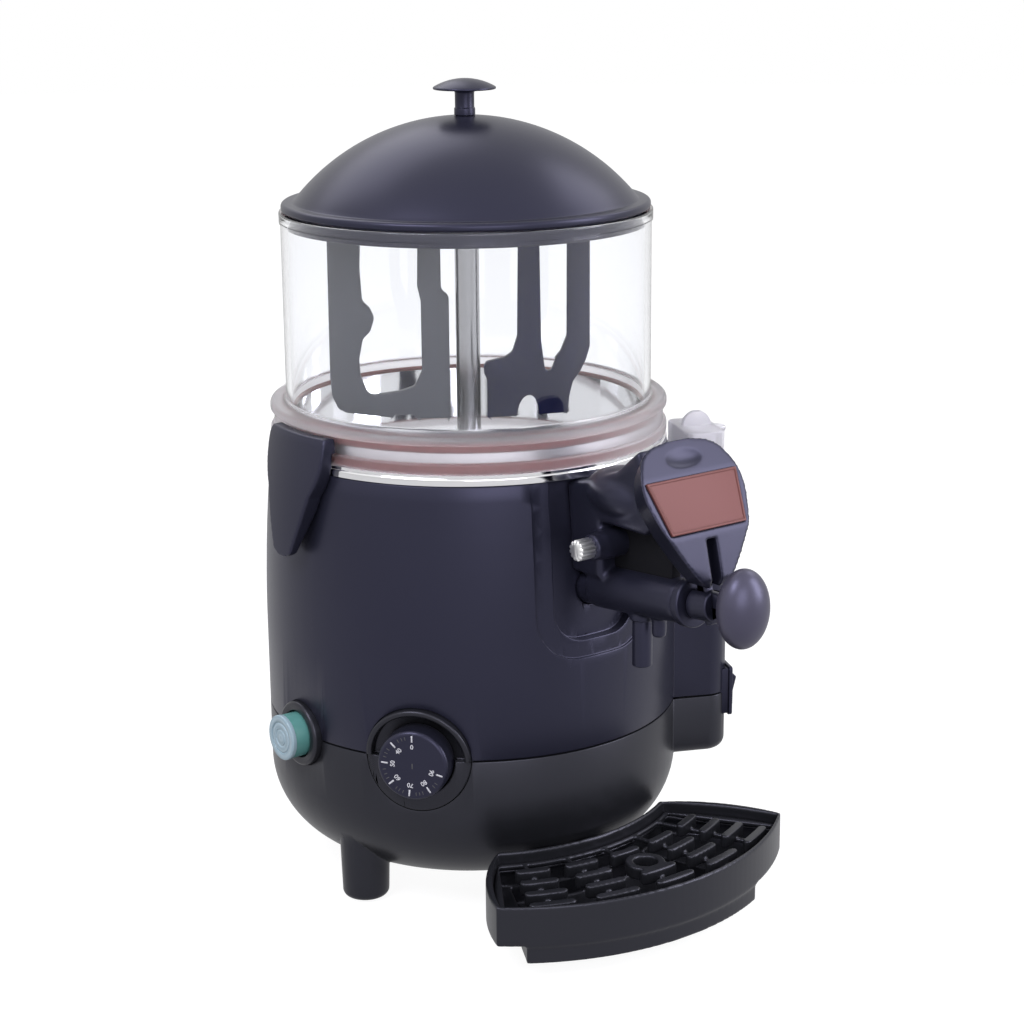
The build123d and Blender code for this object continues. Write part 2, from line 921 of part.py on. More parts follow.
def agitator_hub():
    hub = post(0, 0, hub_r, hub_low_z, hub_high_z)
    hub = fillet(hub.edges().sort_by(Axis.Z)[-1], hub_round)
    hub -= post(0, 0, column_r + part_gap, hub_low_z - 1, column_top_z + part_gap)
    return hub - post(0, 0, shaft_r, hub_low_z, shaft_top_z)


def drive_shaft():
    return post(0, 0, shaft_r, motor_high_z - gear_h / 2 + part_gap, shaft_top_z)


def gearmotor():
    gear = post(0, 0, gear_r, motor_high_z - gear_h, motor_high_z)
    gear = fillet(gear.edges().group_by(Axis.Z)[-1], gear_round)
    motor = post(0, 0, motor_r, motor_high_z - gear_h - motor_h, motor_high_z - gear_h)
    motor = fillet(motor.edges().group_by(Axis.Z)[0], motor_round)
    return gear + motor - post(0, 0, shaft_r + run_gap, motor_high_z - gear_h / 2, motor_high_z + 1)


def motor_bracket():
    bracket = post(0, 0, bracket_r, motor_high_z, motor_high_z + bracket_wall)
    bracket -= post(0, 0, column_r + part_gap, motor_high_z - 1, motor_high_z + bracket_wall + 1)
    for x, y in screw_ring(post_count, post_pitch_r, 180):
        bracket += post(x, y, post_r, motor_high_z, bath_low_z)
    bracket -= [
        post(x, y, heater_rod_r + 2, motor_high_z - 1, motor_high_z + bracket_wall + 1)
        for x, y in heater_leg_points()
    ]
    return bracket


def heater_leg_points():
    y = math.sqrt(heater_ring_r ** 2 - (heater_leg_gap / 2) ** 2)
    return [(-heater_leg_gap / 2, y), (heater_leg_gap / 2, y)]


# Thermostat dial, push button and rocker switch

def dial_cup():
    # a hood above the seam, flush with the casing below it
    blank = radial_disc(dial_angle, seam_z, cup_r, cup_back_reach, body_r + cup_r)
    front = radial_plane(dial_angle, cup_front_reach, seam_z) * Rot(cup_lean, 0, 0)
    size = 4 * cup_r
    hood = (blank & slab(seam_z, body_top_z)) - front * Box(size, size, size, align=upward)
    hood -= radial_disc(dial_angle, seam_z, cup_r - cup_wall, cup_floor_reach, body_r + size)
    brow = hood.edges().filter_by(GeomType.ELLIPSE)
    hood = fillet(brow, cup_round)
    apron = blank & slab(0, seam_z) & turned_body(0, body_top_z)
    apron -= radial_disc(dial_angle, seam_z, dial_r + cup_gap, cup_floor_reach, body_r + size)
    hole = radial_disc(dial_angle, seam_z, spindle_r + part_gap, cup_back_reach - 1, cup_floor_reach + 1)
    return hood + apron - hole


def dial():
    knob = radial_disc(dial_angle, seam_z, dial_r, dial_back_reach, dial_face_reach)
    front = knob.edges().sort_by_distance(outward(dial_angle, dial_face_reach, seam_z + dial_r))[0]
    knob = fillet(front, dial_round)
    return knob - radial_disc(dial_angle, seam_z, spindle_r, dial_back_reach - 1, spindle_reach)


def dial_spindle():
    back = thermostat_face_reach - thermostat_depth / 2
    return radial_disc(dial_angle, seam_z, spindle_r, back, spindle_reach)


def thermostat():
    face = radial_plane(dial_angle, thermostat_face_reach, seam_z)
    body = Box(thermostat_size, thermostat_size, thermostat_depth, align=downward)
    body = fillet(body.edges().filter_by(Axis.Z), thermostat_round)
    shape = face * body
    floor = thermostat_face_reach - thermostat_depth / 2 - part_gap
    return shape - radial_disc(dial_angle, seam_z, spindle_r + run_gap, floor, thermostat_face_reach + 1)


def button_bezel():
    shape = radial_disc(button_angle, seam_z, bezel_r, bezel_back_reach, bezel_face_reach)
    front = shape.edges().sort_by_distance(outward(button_angle, bezel_face_reach, seam_z + bezel_r))[0]
    shape = fillet(front, bezel_round)
    bore = button_cap_r + part_gap
    return shape - radial_disc(button_angle, seam_z, bore, bezel_back_reach - 1, bezel_face_reach + 1)


def button():
    back = button_face_reach - button_length
    shape = radial_disc(button_angle, seam_z, button_r, back, button_face_reach)
    return shape + radial_disc(button_angle, seam_z, plunger_r, back - plunger_depth, back + 1)


def button_cap():
    front = button_face_reach + button_cap_h
    shape = radial_disc(button_angle, seam_z, button_cap_r, button_face_reach, front)
    edge = outward(button_angle, front, seam_z + button_cap_r)
    shape = fillet(shape.edges().sort_by_distance(edge)[0], button_cap_round)
    for r in cap_ring_radii:
        groove = radial_disc(button_angle, seam_z, r, front - cap_ring_depth, front + 1)
        groove -= radial_disc(button_angle, seam_z, r - cap_ring_width, button_face_reach, front + 2)
        shape -= groove
    return shape


def switch_body():
    shape = radial_disc(button_angle, seam_z, switch_r, switch_face_reach - switch_length, switch_face_reach)
    return shape - radial_disc(
        button_angle, seam_z, plunger_r + run_gap, switch_face_reach - plunger_depth, switch_face_reach + 1
    )


def rocker_frame():
    frame = Box(rocker_frame_w, rocker_frame_h, rocker_frame_wall, align=upward)
    frame = fillet(frame.edges().filter_by(Axis.Z), rocker_frame_round)
    frame = Pos(0, 0, touch_gap) * frame
    tube_w = rocker_w + 2 * rocker_frame_wall
    tube_h = 2 * (rocker_half + rocker_frame_wall)
    frame += Pos(0, 0, touch_gap) * Box(tube_w, tube_h, rocker_body_depth - 2, align=downward)
    hole_w = rocker_w + 2 * part_gap
    hole = Box(hole_w, 2 * (rocker_half + rocker_slack), rocker_body_depth, align=upward)
    return rocker_plane() * (frame - Pos(0, 0, -rocker_floor) * hole)


def rocker():
    drum = Cylinder(rocker_half, rocker_w, rotation=(0, 90, 0))
    face = rocker_depth + rocker_frame_wall + rocker_proud
    spread = rocker_half * math.tan(math.radians(rocker_lean))
    wedge = Polyline(
        (0, -rocker_half - 1, -rocker_root),
        (0, rocker_half + 1, -rocker_root),
        (0, rocker_half + 1, face + spread),
        (0, 0, face),
        (0, -rocker_half - 1, face + spread),
        close=True,
    )
    tile = extrude(make_face(wedge), rocker_w / 2, dir=(1, 0, 0), both=True)
    tile = drum & tile
    return rocker_plane() * Pos(0, 0, -rocker_depth) * Rot(rocker_lean, 0, 0) * tile


def filler_place(z):
    x, y, _ = outward(side_angle, filler_reach, 0)
    return Pos(x, y, z) * Rot(0, 0, side_angle - 90) * Pos(0, filler_side, 0)


def filler_slab(inset, height):
    corner = filler_corner_r - inset * filler_plug_round
    outline = RectangleRounded(filler_width - 2 * inset, filler_length - 2 * inset, corner)
    return extrude(outline, height)


def filler_cap():
    base = side_high_z + rest_gap
    top = fillet(filler_slab(0, filler_h).edges().group_by(Axis.Z)[-1], filler_round)
    tab = Cylinder(filler_tab_r, filler_tab_h, align=upward)
    top += Pos(filler_width / 2, 0, filler_h - filler_tab_drop) * tab
    cap = filler_place(base) * top
    cap += filler_place(base - filler_plug_h) * filler_slab(filler_inset + part_gap, filler_plug_h)
    hollow = filler_slab(filler_inset + part_gap + filler_wall, filler_plug_h + filler_h - filler_wall)
    cap -= filler_place(base - filler_plug_h) * hollow
    grip = Cylinder(filler_grip_r, filler_grip_wall, rotation=(90, 0, 0))
    grip &= Box(4 * filler_grip_r, 4 * filler_grip_r, 2 * filler_grip_r, align=upward)
    return cap + filler_place(base + filler_h) * grip


# Bowl clips on both sides

def clip_pin(side, r):
    pin = Cylinder(r, 2 * (ear_far + pin_grip), rotation=(90, 0, 0))
    return Pos(side * clip_pivot_x, 0, clip_pivot_z) * pin


def clip_high_z():
    return groove_low_z() + skirt_groove_h - clip_hook_top_gap


def clip_bar():
    lip = groove_low_z() + clip_hook_gap
    high = clip_high_z()
    flank = skirt_r + clip_flank_gap
    waist = skirt_r - skirt_groove + clip_hook_gap
    hip = body_radius(clip_pivot_z) + clip_flank_gap
    waist_z = clip_pivot_z + clip_waist_rise
    brow_z = high - clip_brow_drop
    edges = [
        Line((waist, 0, high), (waist, 0, lip)),
        Line((waist, 0, lip), (flank, 0, lip)),
        Line((flank, 0, lip), (flank, 0, body_top_z)),
        Line((flank, 0, body_top_z), (hip, 0, clip_pivot_z)),
        Line((hip, 0, clip_pivot_z), (clip_foot_r - clip_foot_wall, 0, clip_low_z)),
        Line((clip_foot_r - clip_foot_wall, 0, clip_low_z), (clip_foot_r, 0, clip_low_z)),
        ThreePointArc((clip_foot_r, 0, clip_low_z), (clip_waist_r, 0, waist_z), (clip_brow_r, 0, brow_z)),
        Line((clip_brow_r, 0, brow_z), (clip_top_r, 0, high)),
        Line((clip_top_r, 0, high), (waist, 0, high)),
    ]
    bar = revolve(make_face(edges), Axis.Z, 2 * clip_span)
    return Rot(0, 0, -clip_span) * bar


def clip(side):
    high = clip_high_z() + 1
    cheek = clip_half - clip_cheek
    thigh_z = clip_pivot_z + clip_thigh_rise
    calf_z = clip_low_z + clip_calf_rise
    toe_z = clip_low_z + clip_toe_rise
    edges = [
        Line((0, -cheek, high), (0, cheek, high)),
        ThreePointArc((0, clip_toe_half, toe_z), (0, 0, clip_low_z), (0, -clip_toe_half, toe_z)),
    ]
    for way in (-1, 1):
        thigh = (0, way * clip_thigh_half, thigh_z)
        edges += [
            ThreePointArc((0, way * cheek, high), (0, way * clip_half, high - clip_cheek_drop), thigh),
            ThreePointArc(thigh, (0, way * clip_calf_half, calf_z), (0, way * clip_toe_half, toe_z)),
        ]
    shield = make_face(edges)
    shape = clip_bar() & extrude(shield, 2 * body_r, dir=(1, 0, 0))
    well = ear_r + ear_pocket_gap
    span = 2 * (ear_far + ear_side_gap)
    pocket = Box(body_r / 2, span, 2 * well, align=(Align.MAX, Align.CENTER, Align.CENTER))
    pocket += Cylinder(well, span, rotation=(90, 0, 0))
    shape -= Pos(clip_pivot_x, 0, clip_pivot_z) * pocket
    shape = shape if side > 0 else mirror(shape, about=Plane.YZ)
    return shape - clip_pin(side, pin_r + run_gap)


def clip_spring(side):
    coil = Cylinder(clip_spring_r, 2 * (ear_near - 1), rotation=(90, 0, 0))
    coil -= Cylinder(clip_spring_r - clip_spring_wall, 4 * ear_near, rotation=(90, 0, 0))
    return Pos(side * clip_pivot_x, 0, clip_pivot_z) * coil


# Tap: its own frame runs along -Y from the recess, leaning up towards the front

def tap_frame():
    return Location((0, -tap_root_reach, tap_root_z), (-tap_lean, 0, 0))


def tap_disc(r, near, far):
    disc = Cylinder(r, far - near, rotation=(90, 0, 0), align=upward)
    return tap_frame() * Pos(0, -near, 0) * disc


def barrel_cone(gap):
    length = barrel_front - barrel_back
    cone = Cone(barrel_root_r + gap, barrel_r + gap, length, rotation=(90, 0, 0), align=upward)
    return tap_frame() * Pos(0, -barrel_back, 0) * cone


def tap_axis_z(reach):
    return tap_root_z + (reach - tap_root_reach) * math.tan(math.radians(tap_lean))


def head_back(z):
    slope = math.tan(math.radians(plaque_lean))
    return plaque_reach - head_depth / math.cos(math.radians(plaque_lean)) + (plaque_z - z) * slope


def tap_body():
    root = body_top_r - pocket_depth - 8
    neck = side_sheet([
        (root, neck_low_z),
        (root, body_top_z - 4),
        (neck_foot_reach, body_top_z + 1),
        (neck_brow_reach, neck_brow_z),
        (head_back(neck_seat_high_z) - touch_gap, neck_seat_high_z),
        (head_back(neck_seat_low_z) - touch_gap, neck_seat_low_z),
        (head_back(neck_seat_low_z) - neck_chin, neck_arch_z),
        (neck_front_reach, neck_arch_z),
        (neck_front_reach, neck_low_z),
    ], neck_half)
    neck = fillet(neck.edges().filter_by(lambda e: abs(abs(e.center().X) - neck_half) < 0.01), neck_round)
    neck -= turned_body(pocket_depth - touch_gap, body_top_z + 10)
    body = neck + barrel_cone(0)
    body += Pos(0, -lock_reach, lock_z) * Cylinder(lock_sleeve_r, 2 * lock_sleeve_half, rotation=(0, 90, 0))
    body += post(0, -prong_reach, prong_r, prong_low_z, tap_axis_z(prong_reach) - barrel_bore_r - 1)
    axis_z = tap_axis_z(nozzle_reach)
    sleeve_low_z = axis_z - barrel_r - nozzle_sleeve_drop
    body += post(0, -nozzle_reach, nozzle_r + nozzle_sleeve, sleeve_low_z, axis_z - barrel_bore_r - 1)
    body -= tap_disc(barrel_bore_r, barrel_back - 1, barrel_front + 1)
    body -= post(0, -nozzle_reach, nozzle_r, nozzle_low_z, axis_z)
    bore = Cylinder(lock_pin_r, 4 * lock_sleeve_half, rotation=(0, 90, 0))
    return body - Pos(0, -lock_reach, lock_z) * bore


def tap_end_ring():
    shape = tap_disc(end_ring_r, barrel_front, barrel_front + end_ring_h)
    shape = fillet(shape.edges().filter_by(GeomType.CIRCLE), end_ring_round)
    return shape - tap_disc(rod_r + run_gap, barrel_front - 1, barrel_front + end_ring_h + 1)


def nozzle():
    high = tap_axis_z(nozzle_reach) - barrel_bore_r - 1.2
    tube = post(0, -nozzle_reach, nozzle_r, nozzle_low_z, high)
    tube = fillet(tube.edges().sort_by(Axis.Z)[0], nozzle_round)
    return tube - post(0, -nozzle_reach, nozzle_bore_r, nozzle_low_z - 1, high + 1)


def lock_pin():
    pin = Cylinder(lock_pin_r, 2 * (lock_sleeve_half + lock_neck_length), rotation=(0, 90, 0))
    for side in (-1, 1):
        knob = Cylinder(lock_knob_r, lock_knob_length, rotation=(0, 90, 0))
        knob = fillet(knob.edges().filter_by(GeomType.CIRCLE), lock_knob_round)
        pin += Pos(side * (lock_sleeve_half + lock_neck_length + lock_knob_length / 2), 0, 0) * knob
    return Pos(0, -lock_reach, lock_z) * pin


def seal_floor_r():
    return barrel_bore_r - run_gap - seal_depth


def piston():
    body = tap_disc(barrel_bore_r - run_gap, piston_start, piston_start + piston_length)
    groove = piston_start + piston_length / 2
    floor = seal_floor_r()
    cut = tap_disc(barrel_r, groove - seal_half, groove + seal_half)
    body -= cut - tap_disc(floor, piston_start, piston_start + piston_length)
    body += tap_disc(rod_r, piston_start + 1, fork_start + 1)
    fork = tap_disc(fork_r, fork_start, fork_end)
    fork = fillet(fork.edges().filter_by(GeomType.CIRCLE), fork_round)
    slot = lever_wall + 2 * slot_gap
    gap = Box(slot, 4 * fork_r, 4 * fork_r, align=(Align.CENTER, Align.MAX, Align.CENTER))
    body += fork - tap_frame() * Pos(0, -(fork_start + fork_floor), 0) * gap
    return body - fork_pin()


def fork_pin():
    pin = Cylinder(fork_pin_r, 2 * (fork_r - fork_pin_inset), rotation=(0, 90, 0))
    return tap_frame() * Pos(0, -fork_pin_at, 0) * pin


def piston_seal():
    groove = piston_start + piston_length / 2
    outer = tap_disc(barrel_bore_r - run_gap, groove - seal_half + touch_gap, groove + seal_half - touch_gap)
    return outer - tap_disc(seal_floor_r(), piston_start, piston_start + piston_length)


def tap_spring():
    start = piston_start + piston_length + touch_gap
    shape = tap_disc(spring_r, start, barrel_front - touch_gap)
    return shape - tap_disc(spring_r - spring_wall, start - 1, barrel_front + 1)


def head_front(z):
    slope = math.tan(math.radians(plaque_lean))
    return plaque_reach + (plaque_z - z) * slope


def head_side():
    half = plaque_h / 2 * math.cos(math.radians(plaque_lean)) + head_edge
    foot = plaque_z - half
    brow = plaque_z + half
    crown = head_top_z - head_crown_drop
    return [
        (head_back(crown), crown),
        (head_back(crown) + head_crown, head_top_z),
        (head_front(brow) - head_brow, head_top_z),
        (head_front(brow), brow),
        (head_front(foot), foot),
        (head_front(foot) + head_chin, head_low_z + head_chin_rise),
        (head_front(foot) + head_chin - 2, head_low_z),
        (head_front(foot) - head_jaw, head_low_z),
        (head_back(head_nape_z), head_nape_z),
    ]


def head_outline():
    # hundredths of the half width and of the drop below the plaque's middle
    right = [
        (0, 74), (40, 72), (74.3, 62), (94.3, 38), (100, 18), (95.7, -4), (85.7, -26), (67.1, -54),
        (45.7, -80), (25.7, -95),
    ]
    right = [(x / 100 * head_half, v / 100 * head_drop) for x, v in right]
    left = [(-x, v) for x, v in right[:0:-1]]
    return make_face(Spline(*right, (0, -head_drop), *left, periodic=True))


def head_solid():
    block = side_sheet(head_side(), head_half + 5)
    front = extrude(head_outline(), -head_taper_depth, taper=head_taper)
    front += extrude(head_outline(), head_lip)
    return block & (plaque_plane() * front)


def plaque_plane():
    lean = math.radians(plaque_lean)
    normal = (0, -math.cos(lean), math.sin(lean))
    return Plane(origin=(0, -plaque_reach, plaque_z), x_dir=(1, 0, 0), z_dir=normal)


def plaque_outline(gap):
    top = plaque_top_w / 2 + gap
    low = plaque_low_w / 2 + gap
    half = plaque_h / 2 + gap
    return make_face(Polyline((-low, -half), (low, -half), (top, half), (-top, half), close=True))


def head_plaque():
    plate = extrude(plaque_outline(0), plaque_wall)
    plate = fillet(plate.edges().filter_by(Axis.Z), plaque_corner_r)
    plate = chamfer(plate.edges().group_by(Axis.Z)[-1], plaque_edge)
    return plaque_plane() * Pos(0, 0, -plaque_sink) * plate


def tap_head():
    head = head_solid()
    bed = extrude(plaque_outline(touch_gap), 10)
    head -= plaque_plane() * Pos(0, 0, -plaque_sink) * bed
    half = lever_wall / 2 + slot_gap
    room = lever_eye_r + slot_gap
    back = lever_pivot_reach - room
    front_wall = head_front(slot_top_z) - head_skin
    clear = front_wall + 2 * head_depth
    low = head_low_z - head_depth
    cavity = side_sheet([
        (back, lever_pivot_z + room),
        (head_front(lever_pivot_z + room) - head_skin, lever_pivot_z + room),
        (front_wall, slot_top_z),
        (clear, slot_top_z),
        (clear, low),
        (back + slot_lean, low),
        (back, lever_pivot_z - slot_drop),
    ], half)
    head -= cavity
    return head - lever_pin()


def lever_pin():
    pin = Cylinder(fork_pin_r, lever_wall + 12, rotation=(0, 90, 0))
    return Pos(0, -lever_pivot_reach, lever_pivot_z) * pin


def lever_lean():
    pin = (tap_frame() * Pos(0, -fork_pin_at, 0)).position
    return math.atan2(-pin.Y - lever_pivot_reach, lever_pivot_z - pin.Z)


def lever_points(along, across):
    lean = lever_lean()
    reach = lever_pivot_reach + along * math.sin(lean) + across * math.cos(lean)
    z = lever_pivot_z - along * math.cos(lean) + across * math.sin(lean)
    return reach, z


def tap_lever():
    half = lever_wall / 2
    stem = side_sheet([
        lever_points(0, -lever_half),
        lever_points(lever_tail - lever_tip, -lever_half - lever_flare),
        lever_points(lever_tail, -lever_half + lever_flare),
        lever_points(lever_tail, lever_half - lever_flare),
        lever_points(lever_tail - lever_tip, lever_half + lever_flare),
        lever_points(0, lever_half),
    ], half)
    stem += Pos(0, -lever_pivot_reach, lever_pivot_z) * Cylinder(lever_eye_r, lever_wall, rotation=(0, 90, 0))
    stem += lever_arm()
    pin = (tap_frame() * Pos(0, -fork_pin_at, 0)).position
    near = math.hypot(-pin.Y - lever_pivot_reach, lever_pivot_z - pin.Z)
    room = fork_pin_r + fork_pin_slack
    slot = side_sheet([
        lever_points(near - room, -room), lever_points(near + room + fork_slot_run, -room),
        lever_points(near + room + fork_slot_run, room), lever_points(near - room, room),
    ], lever_wall)
    stem -= slot
    hole = Cylinder(fork_pin_r + run_gap, 40, rotation=(0, 90, 0))
    return stem - Pos(0, -lever_pivot_reach, lever_pivot_z) * hole


def lever_arm():
    root = lever_points(lever_tail - arm_drop, lever_half / 2)
    return side_sheet([
        (root[0], root[1] + arm_half),
        (knob_reach - knob_half_y + arm_sink, knob_z + arm_half),
        (knob_reach - knob_half_y + arm_sink, knob_z - arm_half),
        (root[0], root[1] - arm_half),
    ], lever_wall / 2)


def tap_knob():
    egg = scale(Sphere(1), by=(knob_half_x, knob_half_y, knob_half_z))
    return Pos(0, -knob_reach, knob_z) * egg - lever_arm()


# Drip tray, its grid and the carrier under the body

def tray_back_r():
    drop = base_z + base_corner_r - tray_top_z
    return body_r - base_corner_r + math.sqrt(base_corner_r ** 2 - drop ** 2) + tray_body_gap


def tray_face(inset):
    back_r = tray_back_r() + inset
    turn = math.radians(tray_back_half_angle)
    horn_x = back_r * math.sin(turn)
    horn_y = -back_r * math.cos(turn)
    tip_x = tray_tip_x - inset
    tip_y = -tray_tip_reach
    run_x = tip_x - horn_x
    run_y = tip_y - horn_y
    run = math.hypot(run_x, run_y)
    middle_x = (horn_x + tip_x) / 2 - run_y / run * tray_horn_bulge
    middle_y = (horn_y + tip_y) / 2 + run_x / run * tray_horn_bulge
    front_y = -tray_front + inset
    edges = [
        ThreePointArc((-horn_x, horn_y), (0, -back_r), (horn_x, horn_y)),
        ThreePointArc((horn_x, horn_y), (middle_x - inset, middle_y - inset / 2), (tip_x, tip_y)),
        ThreePointArc((tip_x, tip_y), (0, front_y), (-tip_x, tip_y)),
        ThreePointArc((-tip_x, tip_y), (inset - middle_x, middle_y - inset / 2), (-horn_x, horn_y)),
    ]
    return make_face(edges)


def well_cut(inset):
    # sector of the deep part of the tray
    reach = 2 * tray_front
    trim = math.degrees(inset / tray_back_r())
    left = reach * math.tan(math.radians(tray_well_left_angle - trim))
    right = reach * math.tan(math.radians(tray_well_right_angle - trim))
    return make_face(Polyline((0, 0), (right, -reach), (-left, -reach), close=True))


def tray_block(inset, floor, shelf, top):
    whole = Pos(0, 0, shelf) * extrude(tray_face(inset), top - shelf)
    middle = tray_face(inset + tray_well_inset) & well_cut(inset)
    return whole + Pos(0, 0, floor) * extrude(middle, shelf - floor + 1)


def drip_tray():
    outer = tray_block(0, tray_low_z, tray_shelf_z, tray_top_z)
    inner = tray_block(tray_wall, tray_low_z + tray_wall, tray_shelf_z + tray_wall, tray_top_z + 1)
    ledge_z = tray_top_z - grid_drop - bar_height - grid_wall - rest_gap
    ledge = extrude(tray_face(tray_wall / 2) - tray_face(tray_wall + ledge_wall), ledge_h)
    tray = outer - inner
    return tray + Pos(0, 0, ledge_z - ledge_h) * ledge


def arc_bar(r, start, end, width):
    cap = math.degrees(width / 2 / r)
    arc = CenterArc((0, 0), r, start + cap - 90, end - start - 2 * cap)
    return SlotArc(arc, width)


def tray_grid():
    low = tray_top_z - grid_drop - bar_height - grid_wall
    field = tray_face(tray_wall + grid_gap)
    rim = field - tray_face(tray_wall + grid_gap + grid_rim)
    frame = Pos(0, 0, low) * extrude(rim, grid_wall)
    spans = [(a + bar_setback, b - bar_setback) for a, b in zip(bar_ends[:-1], bar_ends[1:])]
    for start, end in spans:
        angle = (start + end) / 2
        edges = [outward(angle + turn, 2 * tray_front, 0)[:2] for turn in (-rib_half_angle, rib_half_angle)]
        rib = make_face(Polyline((0, 0), *edges, close=True))
        frame += Pos(0, 0, low) * extrude(rib & field, grid_wall)
    hole_y = -drip_ring_reach
    inner_field = tray_face(tray_wall + 2 * grid_gap)
    for r in bar_rows:
        for start, end in spans:
            behind_ring = start < 0 < end and abs(r - drip_ring_reach) < drip_hole_r
            if not behind_ring:
                bar = arc_bar(r, start, end, bar_width) & inner_field
                frame += Pos(0, 0, low) * extrude(bar, grid_wall + bar_height)
    frame += post(0, hole_y, drip_ring_r, low, low + grid_wall + bar_height)
    return frame - post(0, hole_y, drip_hole_r, low - 1, low + 40)


def carrier_screw_points():
    x = carrier_half - carrier_screw_inset
    y = -carrier_back - carrier_screw_inset
    return [(-x, y), (x, y)]


def carrier_screw_shanks(gap):
    high = base_z + plate_screw_length
    r = plate_screw_r + gap
    return [post(x, y, r, 0, high) for x, y in carrier_screw_points()]


def tray_carrier():
    top = tray_low_z - part_gap
    low = top - carrier_wall
    length = carrier_front - carrier_back
    plate = Box(2 * carrier_half, length, carrier_wall, align=(Align.CENTER, Align.MAX, Align.MIN))
    plate = fillet(plate.edges().filter_by(Axis.Z), carrier_corner_r)
    shape = Pos(0, -carrier_back, low) * plate
    for x, y in carrier_screw_points():
        shape += post(x, y, carrier_boss_r, low, base_z - touch_gap)
    shape -= post(0, -leg_pitch_r, leg_top_r + part_gap, low - 1, top + 1)
    return shape - carrier_screw_shanks(touch_gap)


def carrier_screws():
    low = tray_low_z - part_gap - carrier_wall
    screws = []
    for x, y in carrier_screw_points():
        screw = post(x, y, plate_screw_r, low, base_z + plate_screw_length)
        screws.append(screw + post(x, y, plate_screw_head_r, low - plate_screw_head_h, low))
    return screws


# Mains entry and terminals

def cable_gland():
    reach = body_r
    shape = radial_disc(gland_angle, gland_z, gland_r, reach - 14, reach + 2)
    nut = extrude(RegularPolygon(gland_nut_r, 6), gland_nut_h)
    shape += radial_plane(gland_angle, reach + touch_gap, gland_z) * nut
    return shape - radial_disc(gland_angle, gland_z, gland_bore_r, reach - 20, reach + 20)


def terminal_block():
    low = base_z + plate_wall + touch_gap
    block = Box(terminal_length, terminal_width, terminal_height, align=upward)
    for index in range(terminal_count):
        x = (index - (terminal_count - 1) / 2) * terminal_pitch
        block -= post(x, 0, terminal_hole_r, terminal_height - terminal_hole_depth, terminal_height + 1)
    return Pos(0, terminal_back, low) * block


lower_raw, upper_raw = casing_shells()
nodes = {
    "lower_shell": lower_shell(lower_raw),
    "upper_shell": upper_shell(upper_raw),
    "foot_pads": foot_pads(),
    "bottom_plate": bottom_plate(),
    "bottom_screws": bottom_screws(),
    "water_bath": water_bath(),
    "pan": pan(),
    "column_tube": column_tube(),
    "column_bush": column_bush(),
    "outlet_tube": outlet_tube(),
    "heater_ring": heater_ring(),
    "seal_ring": seal_ring(),
    "seal_band": seal_band(),
    "bowl": bowl(),
    "lid": lid(),
    "lid_knob": lid_knob(),
    "lid_screw": lid_screw(),
    "wide_blade": wide_blade(),
    "narrow_blade": narrow_blade(),
    "agitator_hub": agitator_hub(),
    "drive_shaft": drive_shaft(),
    "gearmotor": gearmotor(),
    "motor_bracket": motor_bracket(),
    "dial_cup": dial_cup(),
    "dial": dial(),
    "dial_spindle": dial_spindle(),
    "thermostat": thermostat(),
    "button_bezel": button_bezel(),
    "button": button(),
    "button_cap": button_cap(),
    "switch_body": switch_body(),
    "rocker_frame": rocker_frame(),
    "rocker": rocker(),
    "filler_cap": filler_cap(),
    "clip_left": clip(-1),
    "clip_right": clip(1),
    "clip_pin_left": clip_pin(-1, pin_r),
    "clip_pin_right": clip_pin(1, pin_r),
    "clip_spring_left": clip_spring(-1),
    "clip_spring_right": clip_spring(1),
    "tap_body": tap_body(),
    "tap_end_ring": tap_end_ring(),
    "nozzle": nozzle(),
    "lock_pin": lock_pin(),
    "piston": piston(),
    "fork_pin": fork_pin(),
    "piston_seal": piston_seal(),
    "tap_spring": tap_spring(),
    "tap_head": tap_head(),
    "head_plaque": head_plaque(),
    "lever_pin": lever_pin(),
    "tap_lever": tap_lever(),
    "tap_knob": tap_knob(),
    "drip_tray": drip_tray(),
    "tray_grid": tray_grid(),
    "tray_carrier": tray_carrier(),
    "carrier_screws": carrier_screws(),
    "cable_gland": cable_gland(),
    "terminal_block": terminal_block(),
}

os.makedirs("parts", exist_ok=True)
for name, shape in nodes.items():
    solid = Compound(children=shape) if isinstance(shape, list) else shape
    export_step(solid, f"parts/{name}.step")
print(len(nodes), "nodes written")
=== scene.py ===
import json
import math
import bpy
from mathutils import Matrix, Vector


